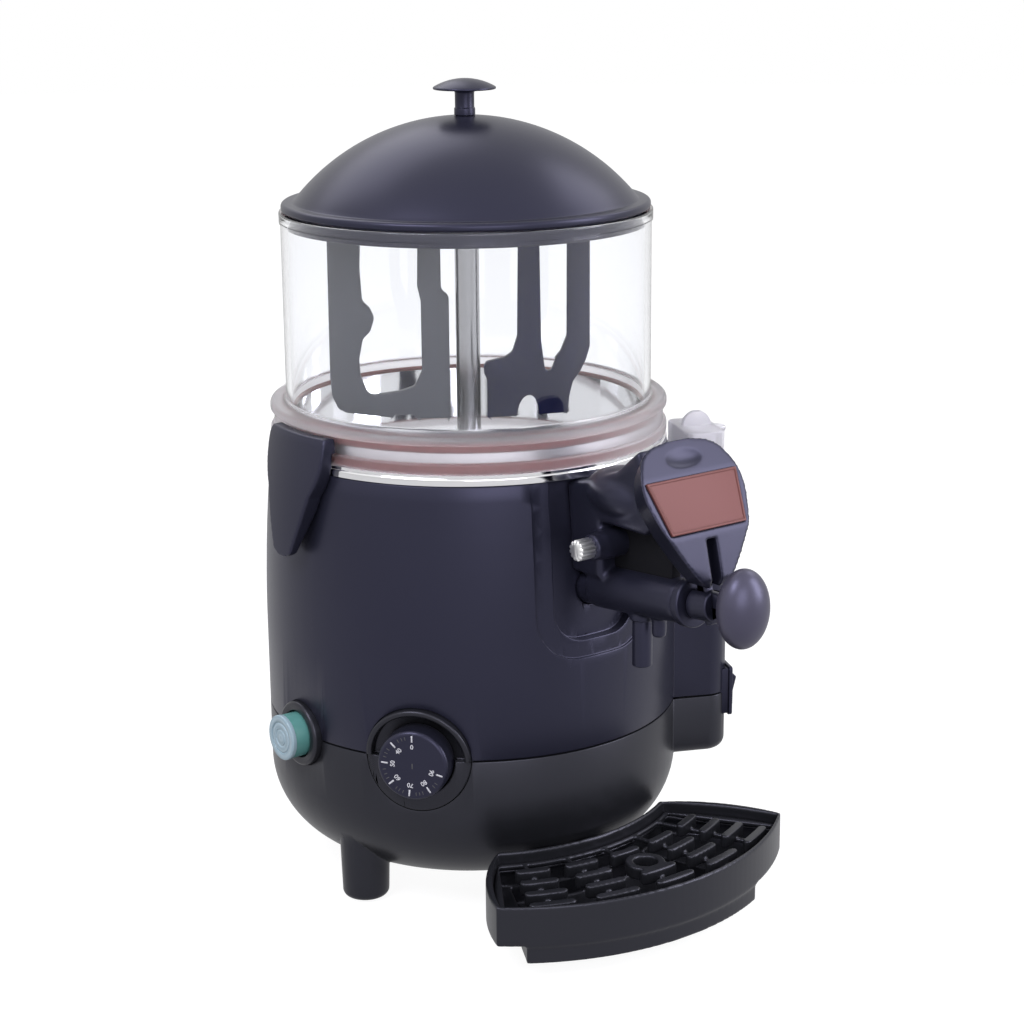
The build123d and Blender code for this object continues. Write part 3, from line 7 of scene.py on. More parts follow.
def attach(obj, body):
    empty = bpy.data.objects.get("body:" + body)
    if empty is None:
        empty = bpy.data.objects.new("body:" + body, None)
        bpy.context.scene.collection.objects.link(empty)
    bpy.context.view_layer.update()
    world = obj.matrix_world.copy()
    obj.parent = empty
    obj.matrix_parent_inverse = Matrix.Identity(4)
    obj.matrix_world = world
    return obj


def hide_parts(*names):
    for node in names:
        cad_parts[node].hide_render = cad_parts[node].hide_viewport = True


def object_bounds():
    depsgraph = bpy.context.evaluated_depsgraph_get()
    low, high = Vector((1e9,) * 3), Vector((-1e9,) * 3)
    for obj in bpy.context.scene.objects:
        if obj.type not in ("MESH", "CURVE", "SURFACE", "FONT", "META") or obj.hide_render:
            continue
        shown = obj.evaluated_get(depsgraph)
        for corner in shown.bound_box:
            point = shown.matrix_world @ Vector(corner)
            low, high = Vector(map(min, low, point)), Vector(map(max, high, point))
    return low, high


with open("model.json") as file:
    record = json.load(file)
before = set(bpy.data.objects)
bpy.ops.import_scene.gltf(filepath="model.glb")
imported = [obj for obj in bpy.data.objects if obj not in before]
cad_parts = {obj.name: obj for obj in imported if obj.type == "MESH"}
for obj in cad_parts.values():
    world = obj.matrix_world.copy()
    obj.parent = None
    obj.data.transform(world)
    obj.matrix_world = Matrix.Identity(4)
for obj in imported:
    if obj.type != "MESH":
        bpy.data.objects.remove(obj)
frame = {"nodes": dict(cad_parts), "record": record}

cadLow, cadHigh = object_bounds()
mm = 0.001
fullTurn = 2 * math.pi


# Working in Blender as by hand; lengths in millimetres, angles in degrees
meshSet = {"weld": 0.002, "copyWeld": 0.004, "flat": 0.3, "facing": 0.99, "relax": 0.5}


def deselectAll():
    if bpy.context.mode != "OBJECT":
        bpy.ops.object.mode_set(mode="OBJECT")
    bpy.ops.object.select_all(action="DESELECT")


def pick(piece):
    deselectAll()
    piece.select_set(True)
    bpy.context.view_layer.objects.active = piece


def editAll(piece):
    pick(piece)
    bpy.ops.object.mode_set(mode="EDIT")
    bpy.ops.mesh.select_all(action="SELECT")


def applyPlace(piece):
    pick(piece)
    bpy.ops.object.transform_apply(location=True, rotation=True, scale=True)
    return piece


def applyModifier(piece, kind, **settings):
    pick(piece)
    modifier = piece.modifiers.new(kind.title(), kind)
    for key, value in settings.items():
        setattr(modifier, key, value)
    bpy.ops.object.modifier_apply(modifier=modifier.name)
    return piece


def smoothByAngle(piece, degrees=40):
    pick(piece)
    bpy.ops.object.shade_smooth_by_angle(angle=math.radians(degrees))
    return piece


def cleanMesh(piece, weld=meshSet["weld"]):
    editAll(piece)
    bpy.ops.mesh.remove_doubles(threshold=weld * mm)
    bpy.ops.mesh.normals_make_consistent(inside=False)
    bpy.ops.object.mode_set(mode="OBJECT")
    return piece


def finishPiece(piece, body, finish, slot, *nodes):
    piece.data.materials.clear()
    piece.data.materials.append(finish)
    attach(piece, body)
    if nodes:
        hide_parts(*nodes)
    return piece


# Copies of the CAD nodes, merged and then softened

def copyNode(node, name):
    pick(frame["nodes"][node])
    bpy.ops.object.duplicate()
    copy = bpy.context.object
    copy.name = name
    bpy.ops.mesh.customdata_custom_splitnormals_clear()
    cleanMesh(copy, meshSet["copyWeld"])
    return copy


def flatCopy(node, name):
    copy = copyNode(node, name)
    editAll(copy)
    bpy.ops.mesh.dissolve_limited(angle_limit=math.radians(meshSet["flat"]))
    bpy.ops.object.mode_set(mode="OBJECT")
    return copy


def soften(piece, width, segments=3, angle=32):
    applyModifier(piece, "BEVEL", width=width * mm, segments=segments, limit_method="ANGLE",
                  angle_limit=math.radians(angle), use_clamp_overlap=False)
    return smoothByAngle(piece)


def softCopy(node, name, width, segments=3):
    return soften(flatCopy(node, name), width, segments)


def pickEdges(piece, test):
    # edges whose two ends both pass the test
    pick(piece)
    bpy.ops.object.mode_set(mode="EDIT")
    bpy.ops.mesh.select_mode(type="EDGE")
    bpy.ops.mesh.select_all(action="DESELECT")
    bpy.ops.object.mode_set(mode="OBJECT")
    for edge in piece.data.edges:
        edge.select = all(test(piece.data.vertices[index].co) for index in edge.vertices)
    bpy.ops.object.mode_set(mode="EDIT")


def pickFaces(piece, normal):
    pick(piece)
    bpy.ops.object.mode_set(mode="EDIT")
    bpy.ops.mesh.select_mode(type="FACE")
    bpy.ops.mesh.select_all(action="DESELECT")
    bpy.ops.object.mode_set(mode="OBJECT")
    for face in piece.data.polygons:
        face.select = face.normal.dot(normal) > meshSet["facing"]
    bpy.ops.object.mode_set(mode="EDIT")


def cutAway(piece, cutter):
    applyModifier(piece, "BOOLEAN", operation="DIFFERENCE", object=cutter, solver="EXACT")
    pick(cutter)
    bpy.ops.object.delete()
    return piece


def joinAll(pieces, name):
    pick(pieces[0])
    for piece in pieces:
        piece.select_set(True)
    bpy.ops.object.join()
    joined = bpy.context.object
    joined.name = name
    return joined


def radialPlace(angle, reach, height):
    # a face that looks outwards from the body, its y axis up
    turn = math.radians(angle)
    side = Vector((math.cos(turn), math.sin(turn), 0))
    out = Vector((math.sin(turn), -math.cos(turn), 0))
    place = Matrix((side, (0, 0, 1), out)).transposed().to_4x4()
    place.translation = out * reach * mm + Vector((0, 0, height * mm))
    return place


def mould(piece, voxel, passes):
    applyModifier(piece, "REMESH", mode="VOXEL", voxel_size=voxel * mm)
    applyModifier(piece, "SMOOTH", factor=meshSet["relax"], iterations=passes)
    pick(piece)
    bpy.ops.object.shade_smooth()
    return piece


# Outlines, in millimetres; a corner takes up less than half of each edge beside it
cornerSet = {"share": 0.49, "step": 15}


def roundCorners(corners, closed):
    # each corner is (across, up, radius); a radius of 0 keeps the point
    points = []
    count = len(corners)
    for index, (x, z, radius) in enumerate(corners):
        here = Vector((x, z))
        atEnd = not closed and index in (0, count - 1)
        if radius == 0 or atEnd:
            points.append(here)
            continue
        before = Vector(corners[index - 1][:2]) - here
        after = Vector(corners[(index + 1) % count][:2]) - here
        bend = before.angle(after)
        room = min(before.length, after.length) * cornerSet["share"]
        run = min(radius / math.tan(bend / 2), room)
        radius = run * math.tan(bend / 2)
        before.normalize()
        after.normalize()
        middle = here + (before + after).normalized() * (radius / math.sin(bend / 2))
        first = here + before * run - middle
        sweep = first.angle_signed(here + after * run - middle)
        steps = max(2, math.ceil(math.degrees(abs(sweep)) / cornerSet["step"]))
        for step in range(steps + 1):
            turned = first.copy()
            turned.rotate(Matrix.Rotation(-sweep * step / steps, 2))
            points.append(middle + turned)
    return points


def arcPoints(centreX, centreZ, radius, start, end, steps):
    points = []
    for step in range(steps + 1):
        turn = math.radians(start + (end - start) * step / steps)
        points.append((centreX + radius * math.cos(turn), centreZ + radius * math.sin(turn), 0))
    return points


# Lathe work: a line is drawn by extruding one vertex, then spun

def drawLine(name, points):
    deselectAll()
    bpy.ops.mesh.primitive_plane_add(size=mm)
    piece = bpy.context.object
    piece.name = name
    bpy.ops.object.mode_set(mode="EDIT")
    bpy.ops.mesh.select_all(action="SELECT")
    bpy.ops.mesh.merge(type="CENTER")
    bpy.ops.transform.translate(value=points[0])
    for here, there in zip(points, points[1:]):
        bpy.ops.mesh.extrude_region_move(TRANSFORM_OT_translate={"value": there - here})
    return piece


def lathe(name, corners, closed=True, steps=192):
    points = [Vector((p.x * mm, 0, p.y * mm)) for p in roundCorners(corners, closed)]
    if closed:
        points.append(points[0].copy())
    piece = drawLine(name, points)
    bpy.ops.mesh.select_all(action="SELECT")
    bpy.ops.mesh.spin(steps=steps, angle=fullTurn, center=(0, 0, 0), axis=(0, 0, 1))
    bpy.ops.object.mode_set(mode="OBJECT")
    return cleanMesh(piece)


# Finishes; noise scales are per metre, and each Rough value says how far its noise shifts the roughness
plasticSet = {"cloud": 9.0, "cloudDetail": 5.0, "cloudRough": 0.12,
              "fine": 900.0, "fineDetail": 2.0, "fineRough": 0.06}
clearSet = {"ior": 1.45, "ripple": 30.0, "rippleRough": 0.02, "blend": 3.0}
steelSet = {"stretch": (1, 1, 0.05), "streak": 220.0, "streakRough": 0.06}
capSet = {"angle": -90.0, "height": 100.0, "spacing": 3.2, "rise": 0.1, "rough": 0.2,
          "cloud": 60.0, "cloudRough": 0.1}
# Blender's wave texture turns by this much in each metre
waveRadians = 20


class Socket:
    def __init__(self, finish, socket):
        self.finish = finish
        self.socket = socket

    def maths(self, operation, first, second):
        return self.finish.node("ShaderNodeMath", {"operation": operation}, {0: first, 1: second})

    def __add__(self, other):
        return self.maths("ADD", self, other)

    def __radd__(self, other):
        return self.maths("ADD", other, self)

    def __sub__(self, other):
        return self.maths("SUBTRACT", self, other)

    def __mul__(self, other):
        return self.maths("MULTIPLY", self, other)


class Finish:
    def __init__(self, name):
        self.material = bpy.data.materials.new(name)
        self.material.use_nodes = True
        self.nodes = self.material.node_tree.nodes
        self.links = self.material.node_tree.links
        self.shader = self.nodes["Principled BSDF"]

    def feed(self, socket, value):
        if isinstance(value, Socket):
            self.links.new(value.socket, socket)
        else:
            socket.default_value = value

    def node(self, kind, settings=None, inputs=None, output=0):
        made = self.nodes.new(kind)
        for key, value in (settings or {}).items():
            setattr(made, key, value)
        for key, value in (inputs or {}).items():
            self.feed(made.inputs[key], value)
        return Socket(self, made.outputs[output])

    def surface(self, **values):
        for key, value in values.items():
            self.feed(self.shader.inputs[key.replace("_", " ")], value)
        return self.material

    def place(self, scale=(1, 1, 1)):
        spot = self.node("ShaderNodeTexCoord", output="Object")
        return self.node("ShaderNodeMapping", inputs={"Vector": spot, "Scale": scale})

    def noise(self, place, scale, detail=3.0):
        return self.node("ShaderNodeTexNoise", inputs={
            "Vector": place, "Scale": scale, "Detail": detail, "Roughness": 0.5})

    def blend(self, factor, first, second):
        sockets = {"Factor": factor, "A": first, "B": second}
        return self.node("ShaderNodeMix", {"data_type": "RGBA"}, sockets, "Result")

    def bump(self, height, distance):
        return self.node("ShaderNodeBump", inputs={
            "Height": height, "Distance": distance, "Strength": 1.0}, output="Normal")


def colour(red, green, blue):
    return (red, green, blue, 1.0)


def mouldedPlastic(name, tone, sheen, roughness, grain, tint=(1.0, 1.0, 1.0), shine=0.5):
    s = plasticSet
    made = Finish(name)
    spot = made.place()
    cloud = made.noise(spot, s["cloud"], s["cloudDetail"])
    fine = made.noise(spot, s["fine"], s["fineDetail"])
    return made.surface(
        Base_Color=made.blend(cloud, tone, sheen),
        Roughness=roughness + (cloud - 0.5) * s["cloudRough"] + (fine - 0.5) * s["fineRough"],
        Normal=made.bump(fine, grain * mm),
        Specular_Tint=colour(*tint),
        Specular_IOR_Level=shine,
    )


def clearPlastic(name, tint, lowTint, roughness, hazeHeight, haze, passing=1.0):
    # hazier below one height, where the moulding is thick
    s = clearSet
    made = Finish(name)
    spot = made.place()
    height = made.node("ShaderNodeSeparateXYZ", inputs={"Vector": spot}, output="Z")
    low = made.node("ShaderNodeMapRange", {"interpolation_type": "SMOOTHSTEP"}, {
        "Value": height,
        "From Min": (hazeHeight + s["blend"]) * mm,
        "From Max": (hazeHeight - s["blend"]) * mm,
    })
    ripple = made.noise(spot, s["ripple"])
    return made.surface(
        Base_Color=made.blend(low, tint, lowTint),
        Roughness=roughness + low * haze + (ripple - 0.5) * s["rippleRough"],
        IOR=s["ior"],
        Transmission_Weight=passing,
    )


def polishedSteel(name, tone, roughness):
    s = steelSet
    made = Finish(name)
    streak = made.noise(made.place(s["stretch"]), s["streak"])
    return made.surface(
        Base_Color=tone,
        Metallic=1.0,
        Roughness=roughness + (streak - 0.5) * s["streakRough"],
    )


def ringedCap(name, tone, ring):
    # faint moulded rings round the button's axis
    s = capSet
    made = Finish(name)
    spot = made.node("ShaderNodeTexCoord", output="Object")
    place = radialPlace(s["angle"], 0, s["height"])
    centred = made.node("ShaderNodeMapping", {"vector_type": "TEXTURE"}, {
        "Vector": spot, "Location": place.translation, "Rotation": place.to_euler()})
    rings = made.node("ShaderNodeTexWave", {"wave_type": "RINGS", "rings_direction": "Z"}, {
        "Vector": centred, "Scale": fullTurn / waveRadians / (s["spacing"] * mm)}, "Fac")
    cloud = made.noise(spot, s["cloud"])
    return made.surface(
        Base_Color=made.blend(rings, tone, ring),
        Roughness=s["rough"] + (cloud - 0.5) * s["cloudRough"],
        Normal=made.bump(rings, s["rise"] * mm),
    )


violet = (0.66, 0.65, 1.0)
slate = (0.75, 0.75, 0.94)
copper = (0.85, 0.42, 0.42)
black = mouldedPlastic(
    "blackPlastic", colour(0.011, 0.0115, 0.020), colour(0.014, 0.0145, 0.025), 0.32, 0.015, violet)
# a darker, less violet copy of the black plastic for the lower shell, tray, grid, dial hood and bezel:
# painted shade
lowPaintedShadeBlack = mouldedPlastic(
    "lowPaintedShadeBlackPlastic", colour(0.010, 0.0105, 0.0125), colour(0.013, 0.0135, 0.016), 0.31, 0.012, slate)
# a rougher, shinier black for the tap knob; its tone, raised well above the black plastic's, is painted light
satinPaintedLight = mouldedPlastic(
    "satinPaintedLightPlastic", colour(0.044, 0.041, 0.060), colour(0.052, 0.049, 0.070), 0.36, 0.012, violet, 0.8)
# a dull, darker black for the sheet under the tap neck: painted shade
paintedShadeDeepBlack = mouldedPlastic(
    "paintedShadeDeepBlack", colour(0.005, 0.005, 0.006), colour(0.007, 0.007, 0.008), 0.6, 0.02, slate, 0.15)
greyBlade = mouldedPlastic("greyBlade", colour(0.092, 0.098, 0.118), colour(0.108, 0.114, 0.135), 0.45, 0.015)
navyBlade = mouldedPlastic(
    "navyBlade", colour(0.004, 0.006, 0.036), colour(0.006, 0.008, 0.044), 0.4, 0.01, slate, 0.25)
redSilicone = mouldedPlastic("redSilicone", colour(0.28, 0.12, 0.115), colour(0.33, 0.14, 0.135), 0.5, 0.02)
greenPlastic = mouldedPlastic(
    "greenPlastic", colour(0.10, 0.29, 0.27), colour(0.115, 0.32, 0.30), 0.25, 0.005)
whitePlastic = mouldedPlastic("whitePlastic", colour(0.75, 0.75, 0.72), colour(0.8, 0.8, 0.77), 0.45, 0.01)
copperPlaque = mouldedPlastic(
    "copperPlaque", colour(0.105, 0.040, 0.036), colour(0.125, 0.048, 0.043), 0.34, 0.01, copper)
padRubber = mouldedPlastic("padRubber", colour(0.012, 0.012, 0.012), colour(0.018, 0.018, 0.018), 0.7, 0.03)
motorPaint = mouldedPlastic("motorPaint", colour(0.25, 0.26, 0.28), colour(0.28, 0.29, 0.31), 0.5, 0.01)
clear = clearPlastic(
    "clearPlastic", colour(0.963, 0.971, 0.99), colour(0.87, 0.855, 0.885), 0.015, 287.0, 0.45)
frosted = clearPlastic(
    "frostedPlastic", colour(0.95, 0.94, 0.99), colour(0.95, 0.94, 0.99), 0.3, 0.0, 0.0, 0.7)
milky = ringedCap("milkyPlastic", colour(0.33, 0.46, 0.53), colour(0.42, 0.55, 0.62))
markWhite = mouldedPlastic("markWhite", colour(0.62, 0.62, 0.66), colour(0.7, 0.7, 0.74), 0.5, 0.01)
markGrey = mouldedPlastic("markGrey", colour(0.05, 0.05, 0.055), colour(0.08, 0.08, 0.085), 0.5, 0.01)
knurled = polishedSteel("knurledSteel", colour(0.88, 0.88, 0.88), 0.38)
chrome = polishedSteel("chromeSteel", colour(0.84, 0.84, 0.85), 0.07)
steel = polishedSteel("plainSteel", colour(0.55, 0.55, 0.57), 0.25)
columnSteel = polishedSteel("columnSteel", colour(0.36, 0.36, 0.37), 0.2)
blackSteel = polishedSteel("blackenedSteel", colour(0.03, 0.03, 0.035), 0.4)

slotFinish = {
    "black_plastic": black,
    "clear_plastic": clear,
    "rim_steel": chrome,
    "inner_steel": steel,
    "seal_red": redSilicone,
    "pad_rubber": padRubber,
    "wide_grey": greyBlade,
    "blade_navy": navyBlade,
    "bush_white": whitePlastic,
    "motor_paint": motorPaint,
    "plaque_copper": copperPlaque,
    "button_green": greenPlastic,
}
nodeFinish = {"fork_pin": blackSteel, "lever_pin": blackSteel, "column_tube": columnSteel}
for part in frame["record"]["subparts"]:
    node = frame["nodes"][part["node"]]
    node.data.materials.clear()
    node.data.materials.append(nodeFinish.get(part["node"], slotFinish[part["material_slot"]]))
print("finishes on the CAD nodes")


# Camera where the photograph was taken
cameraSet = {"lens": 78.9, "distance": 1.307, "height": 0.567, "turn": 36.0,
             "pan": 1.10, "tilt": 15.20, "roll": -0.53}


def makeCamera():
    pan, tilt, roll = (math.radians(cameraSet[key]) for key in ("pan", "tilt", "roll"))
    turn = Matrix.Rotation(-math.radians(cameraSet["turn"]), 4, "Z")
    look = Matrix.Rotation(-pan, 4, "Z") @ Matrix.Rotation(math.pi / 2 - tilt, 4, "X")
    place = Matrix.Translation((0, -cameraSet["distance"], cameraSet["height"]))
    bpy.ops.object.camera_add()
    camera = bpy.context.object
    camera.data.lens = cameraSet["lens"]
    camera.matrix_world = turn @ place @ look @ Matrix.Rotation(roll, 4, "Z")
    bpy.context.scene.camera = camera


# Light: a pale room, brighter in front, and soft cool lamps
lampSet = {
    "right": {"at": (1.5, -0.1, 1.65), "size": (0.9, 0.9), "watts": 5.5},
    "left": {"at": (-1.34, -0.32, 1.69), "size": (0.9, 0.9), "watts": 20.0},
    "back": {"at": (0.1, 1.4, 1.8), "size": (1.6, 1.2), "watts": 9.0},
    "front": {"at": (-0.72, -1.77, 0.8), "size": (1.2, 1.0), "watts": 11.0},
    "side": {"at": (1.3, -1.45, 0.97), "size": (0.8, 1.5), "watts": 24.0},
}
lampColour = (0.93, 0.92, 1.0)
lampAim = (0, 0, 0.2)
roomSet = {"before": 1.1, "behind": 0.72, "spread": 0.7, "diffuse": 0.5}
floorSet = {"radius": 6.0, "points": 96, "paper": 0.21, "fleck": 0.23, "speck": 3.0, "rough": 0.9,
            "white": 0.92, "mirrored": 0.5}


def makeLamps():
    deselectAll()
    for name, lamp in lampSet.items():
        bpy.ops.object.light_add(type="AREA", location=lamp["at"])
        light = bpy.context.object
        light.name = name + "Lamp"
        light.data.shape = "RECTANGLE"
        light.data.size, light.data.size_y = lamp["size"]
        light.data.energy = lamp["watts"]
        light.data.color = lampColour
        light.rotation_euler = (Vector(lampAim) - light.location).to_track_quat("-Z", "Y").to_euler()


def makeRoom():
    world = bpy.data.worlds.new("whiteRoom")
    bpy.context.scene.world = world
    world.use_nodes = True
    nodes = world.node_tree.nodes
    links = world.node_tree.links

    def add(kind, **settings):
        node = nodes.new("ShaderNode" + kind)
        for key, value in settings.items():
            setattr(node, key, value)
        return node

    rays = add("LightPath")
    where = add("TexCoord")
    # brighter on the camera's side
    turn = math.radians(cameraSet["turn"])
    along = add("VectorMath", operation="DOT_PRODUCT")
    along.inputs[1].default_value = (-math.sin(turn), -math.cos(turn), 0)
    links.new(where.outputs["Generated"], along.inputs[0])
    shade = add("MapRange", interpolation_type="SMOOTHSTEP")
    shade.inputs["From Min"].default_value = -roomSet["spread"]
    shade.inputs["From Max"].default_value = roomSet["spread"]
    shade.inputs["To Min"].default_value = roomSet["behind"]
    shade.inputs["To Max"].default_value = roomSet["before"]
    links.new(along.outputs["Value"], shade.inputs["Value"])
    dull = add("Mix", data_type="FLOAT")
    dull.inputs["A"].default_value = roomSet["diffuse"]
    links.new(rays.outputs["Is Glossy Ray"], dull.inputs["Factor"])
    links.new(shade.outputs["Result"], dull.inputs["B"])
    seen = add("Math", operation="MAXIMUM")
    links.new(rays.outputs["Is Camera Ray"], seen.inputs[0])
    links.new(rays.outputs["Is Transmission Ray"], seen.inputs[1])
    level = add("Mix", data_type="FLOAT")
    level.inputs["B"].default_value = 1.0
    links.new(seen.outputs["Value"], level.inputs["Factor"])
    links.new(dull.outputs["Result"], level.inputs["A"])
    links.new(level.outputs["Result"], nodes["Background"].inputs["Strength"])
    nodes["Background"].inputs["Color"].default_value = (1, 1, 1, 1)


def makeFloor():
    s = floorSet
    deselectAll()
    bpy.ops.mesh.primitive_circle_add(
        vertices=s["points"], radius=s["radius"], fill_type="NGON", location=(0, 0, cadLow.z))
    floor = bpy.context.object
    floor.name = "floor"
    paper = Finish("floorPaper")
    speck = paper.noise(paper.place(), s["speck"])
    # white to the eye and through glass, dimmer in mirrors
    seen = paper.node("ShaderNodeLightPath", output="Is Camera Ray")
    through = paper.node("ShaderNodeLightPath", output="Is Transmission Ray")
    mirrored = paper.node("ShaderNodeLightPath", output="Is Glossy Ray")
    paper.surface(
        Base_Color=paper.blend(speck, colour(*[s["paper"]] * 3), colour(*[s["fleck"]] * 3)),
        Roughness=s["rough"],
        Specular_IOR_Level=0.0,
        Emission_Color=paper.blend(
            seen + through + mirrored * s["mirrored"], colour(0, 0, 0), colour(1, 1, 1)),
        Emission_Strength=s["white"],
    )
    floor.data.materials.append(paper.material)


makeCamera()
makeLamps()
makeRoom()
makeFloor()
bpy.context.scene.view_settings.view_transform = "Standard"
print("camera, light and floor")


# Lid, a domed shell with a rolled rim, and its knob; the third number of a corner is its radius
lidSet = {"rimR": 107.4, "domeR": 100.3, "spigotR": 104.0, "footR": 101.8, "rimZ": 396.3, "crownZ": 401.1,
          "footZ": 387.3, "apexZ": 449.0, "wall": 2.6, "steps": 40}
knobSet = {"footR": 6.1, "footH": 4.0, "stemR": 5.6, "step": 0.5, "capR": 18.2, "capZ": 463.8, "edgeH": 1.2,
           "topZ": 470.0, "lowZ": 449.1, "steps": 18, "spin": 96}


def makeLid():
    s = lidSet
    rise = s["apexZ"] - s["crownZ"]
    radius = (s["domeR"] ** 2 + rise ** 2) / (2 * rise)
    centre = s["apexZ"] - radius
    inner = radius - s["wall"]
    outerStart = math.degrees(math.acos(s["domeR"] / radius))
    innerStart = math.degrees(math.acos(s["footR"] / inner))
    dome = arcPoints(0, centre, radius, outerStart, 90, s["steps"])
    cave = arcPoints(0, centre, inner, 90, innerStart, s["steps"])
    dome[0] = (s["domeR"], s["crownZ"], 1.4)
    rim = [
        (s["footR"], s["footZ"], 0.8),
        (s["spigotR"], s["footZ"], 0.8),
        (s["spigotR"], s["rimZ"], 0.5),
        (s["rimR"], s["rimZ"], 1.7),
        (s["rimR"], s["crownZ"], 2.2),
    ]
    lid = lathe("lidShell", cave + rim + dome, False)
    finishPiece(smoothByAngle(lid), "lid", black, "black_plastic", "lid")


def makeLidKnob():
    s = knobSet
    crownH = s["topZ"] - s["capZ"] - s["edgeH"]
    crown = (s["capR"] ** 2 + crownH ** 2) / (2 * crownH)
    start = math.degrees(math.acos(s["capR"] / crown))
    cap = arcPoints(0, s["topZ"] - crown, crown, start, 90, s["steps"])
    cap[0] = (s["capR"], s["capZ"] + s["edgeH"], 0.9)
    stem = [
        (0, s["lowZ"], 0),
        (s["footR"], s["lowZ"], 0.4),
        (s["footR"], s["lowZ"] + s["footH"], 0.8),
        (s["stemR"], s["lowZ"] + s["footH"] + s["step"], 0.5),
        (s["stemR"], s["capZ"], 2.5),
        (s["capR"], s["capZ"], 0.6),
    ]
    knob = lathe("lidKnob", stem + cap, False, s["spin"])
    finishPiece(smoothByAngle(knob), "lid", black, "black_plastic", "lid_knob")


makeLid()
makeLidKnob()
print("lid and knob")


# Clear bowl with its stepped skirt, red seal and chrome bath under it
bowlSet = {"r": 108.0, "wallR": 104.4, "rimZ": 396.0, "bandZ": 389.5, "bandR": 108.8,
           "skirtR": 117.5, "skirtInR": 112.3, "waistR": 115.3, "topZ": 286.0, "shoulderZ": 282.0,
           "lowZ": 264.5, "grooveLowZ": 270.5, "grooveHighZ": 280.7, "spin": 256, "crease": 60}
sealSet = {"outR": 111.9, "inR": 104.3, "lowZ": 264.1, "highZ": 281.9, "groove": 1.6, "crease": 60}
bathSet = {"rimR": 117.6, "rollR": 112.6, "r": 104.0, "lowZ": 212.0, "rimLowZ": 258.1, "rimZ": 262.7,
           "wall": 1.2, "crease": 50}


def makeBowl():
    s = bowlSet
    outline = [
        (s["wallR"], s["shoulderZ"], 1.5),
        (s["skirtInR"], s["shoulderZ"], 2.2),
        (s["skirtInR"], s["lowZ"], 0.8),
        (s["skirtR"], s["lowZ"], 1.3),
        (s["skirtR"], s["grooveLowZ"], 1.2),
        (s["waistR"], s["grooveLowZ"], 0.6),
        (s["waistR"], s["grooveHighZ"], 0.6),
        (s["skirtR"], s["grooveHighZ"], 1.2),
        (s["skirtR"], s["topZ"], 2.6),
        (s["r"], s["topZ"], 2.6),
        (s["r"], s["bandZ"], 0.3),
        (s["bandR"], s["bandZ"], 0.3),
        (s["bandR"], s["rimZ"], 0.9),
        (s["wallR"], s["rimZ"], 0.9),
    ]
    bowl = lathe("clearBowl", outline, True, s["spin"])
    finishPiece(smoothByAngle(bowl, s["crease"]), "base", clear, "clear_plastic", "bowl")


def makeSeal():
    s = sealSet
    third = (s["highZ"] - s["lowZ"]) / 3
    outline = [
        (s["inR"], s["lowZ"], 1.2),
        (s["outR"], s["lowZ"], 1.8),
        (s["outR"], s["lowZ"] + third, 1.8),
        (s["outR"] - s["groove"], s["lowZ"] + third, 0.7),
        (s["outR"] - s["groove"], s["highZ"] - third, 0.7),
        (s["outR"], s["highZ"] - third, 1.8),
        (s["outR"], s["highZ"], 1.8),
        (s["inR"], s["highZ"], 1.2),
    ]
    seal = lathe("redSeal", outline)
    finishPiece(smoothByAngle(seal, s["crease"]), "base", redSilicone, "seal_red", "seal_ring")


def makeBath():
    s = bathSet
    outline = [
        (0, s["lowZ"], 0),
        (s["r"], s["lowZ"], 6.0),
        (s["r"], s["rimZ"] - s["wall"], 1.0),
        (s["rollR"], s["rimZ"] - s["wall"], 0.5),
        (s["rollR"], s["rimLowZ"], 0.4),
        (s["rimR"], s["rimLowZ"], 0.6),
        (s["rimR"], s["rimZ"], 1.2),
        (s["r"] - s["wall"], s["rimZ"], 0.6),
        (s["r"] - s["wall"], s["lowZ"] + s["wall"], 5.0),
        (0, s["lowZ"] + s["wall"], 0),
    ]
    bath = lathe("bathRim", outline, False)
    finishPiece(smoothByAngle(bath, s["crease"]), "base", chrome, "rim_steel", "water_bath")


makeBowl()
makeSeal()
makeBath()
print("bowl, seal and bath")


# Stirring blades, flat mouldings with rounded outlines; corners in hundredths of reach and height
bladeSet = {
    "reach": 82.0, "lowZ": 271.0, "tall": 118.0, "wall": 6.0, "edge": 0.9, "crease": 60, "turn": -36.0,
    "corner": 5.0, "endCorner": 0.8, "endHigh": 94, "endLow": 2.5, "weld": 0.01,
    "wide": [
        (-99.4, 100), (-100, 22), (-98.8, 11.9), (-94.5, 5.5), (-89, 3.4), (-54.9, 0.5), (-53.7, 2),
        (-39, 1.9), (-37.8, 0), (-13.4, 0), (-13.4, 62.7), (-18.9, 65.3), (-18.9, 95.8), (-15.9, 95.8),
        (-15.9, 100)],
    "wideWindow": [
        (-75.6, 95.8), (-76.8, 76.3), (-75.6, 60.2), (-70.1, 56.4), (-67.1, 51.3), (-70.1, 44.9),
        (-75.6, 41.1), (-78.7, 30.5), (-78, 22), (-72.6, 11.9), (-50, 14), (-39, 16.5),
        (-33.5, 24.6), (-33.5, 60.2), (-35.9, 67.8), (-34.8, 95.8)],
    "narrow": [
        (15.9, 100), (15.9, 95.8), (36.6, 95.8), (35.4, 41.5), (31.7, 33.5), (26.2, 30.8),
        (11.2, 28.4), (11.2, 22.9), (13.4, 19.9), (13.4, 0), (34.8, 0.7), (36.6, 6.4),
        (39.6, 10), (43.9, 11.7), (47.8, 10.2), (50.2, 5.7), (50.6, 1.3), (72, 2.2), (72.9, 10.6),
        (75.6, 18.2), (80.9, 23.4), (85.1, 29.5), (87.8, 36.1), (87.8, 100)],
    "narrowWindow": [
        (51.7, 95.8), (52.7, 39), (55.5, 23.7), (59.8, 23.7), (64.1, 31.8), (66.3, 33.2),
        (71.1, 41.5), (71.5, 95.8)],
}


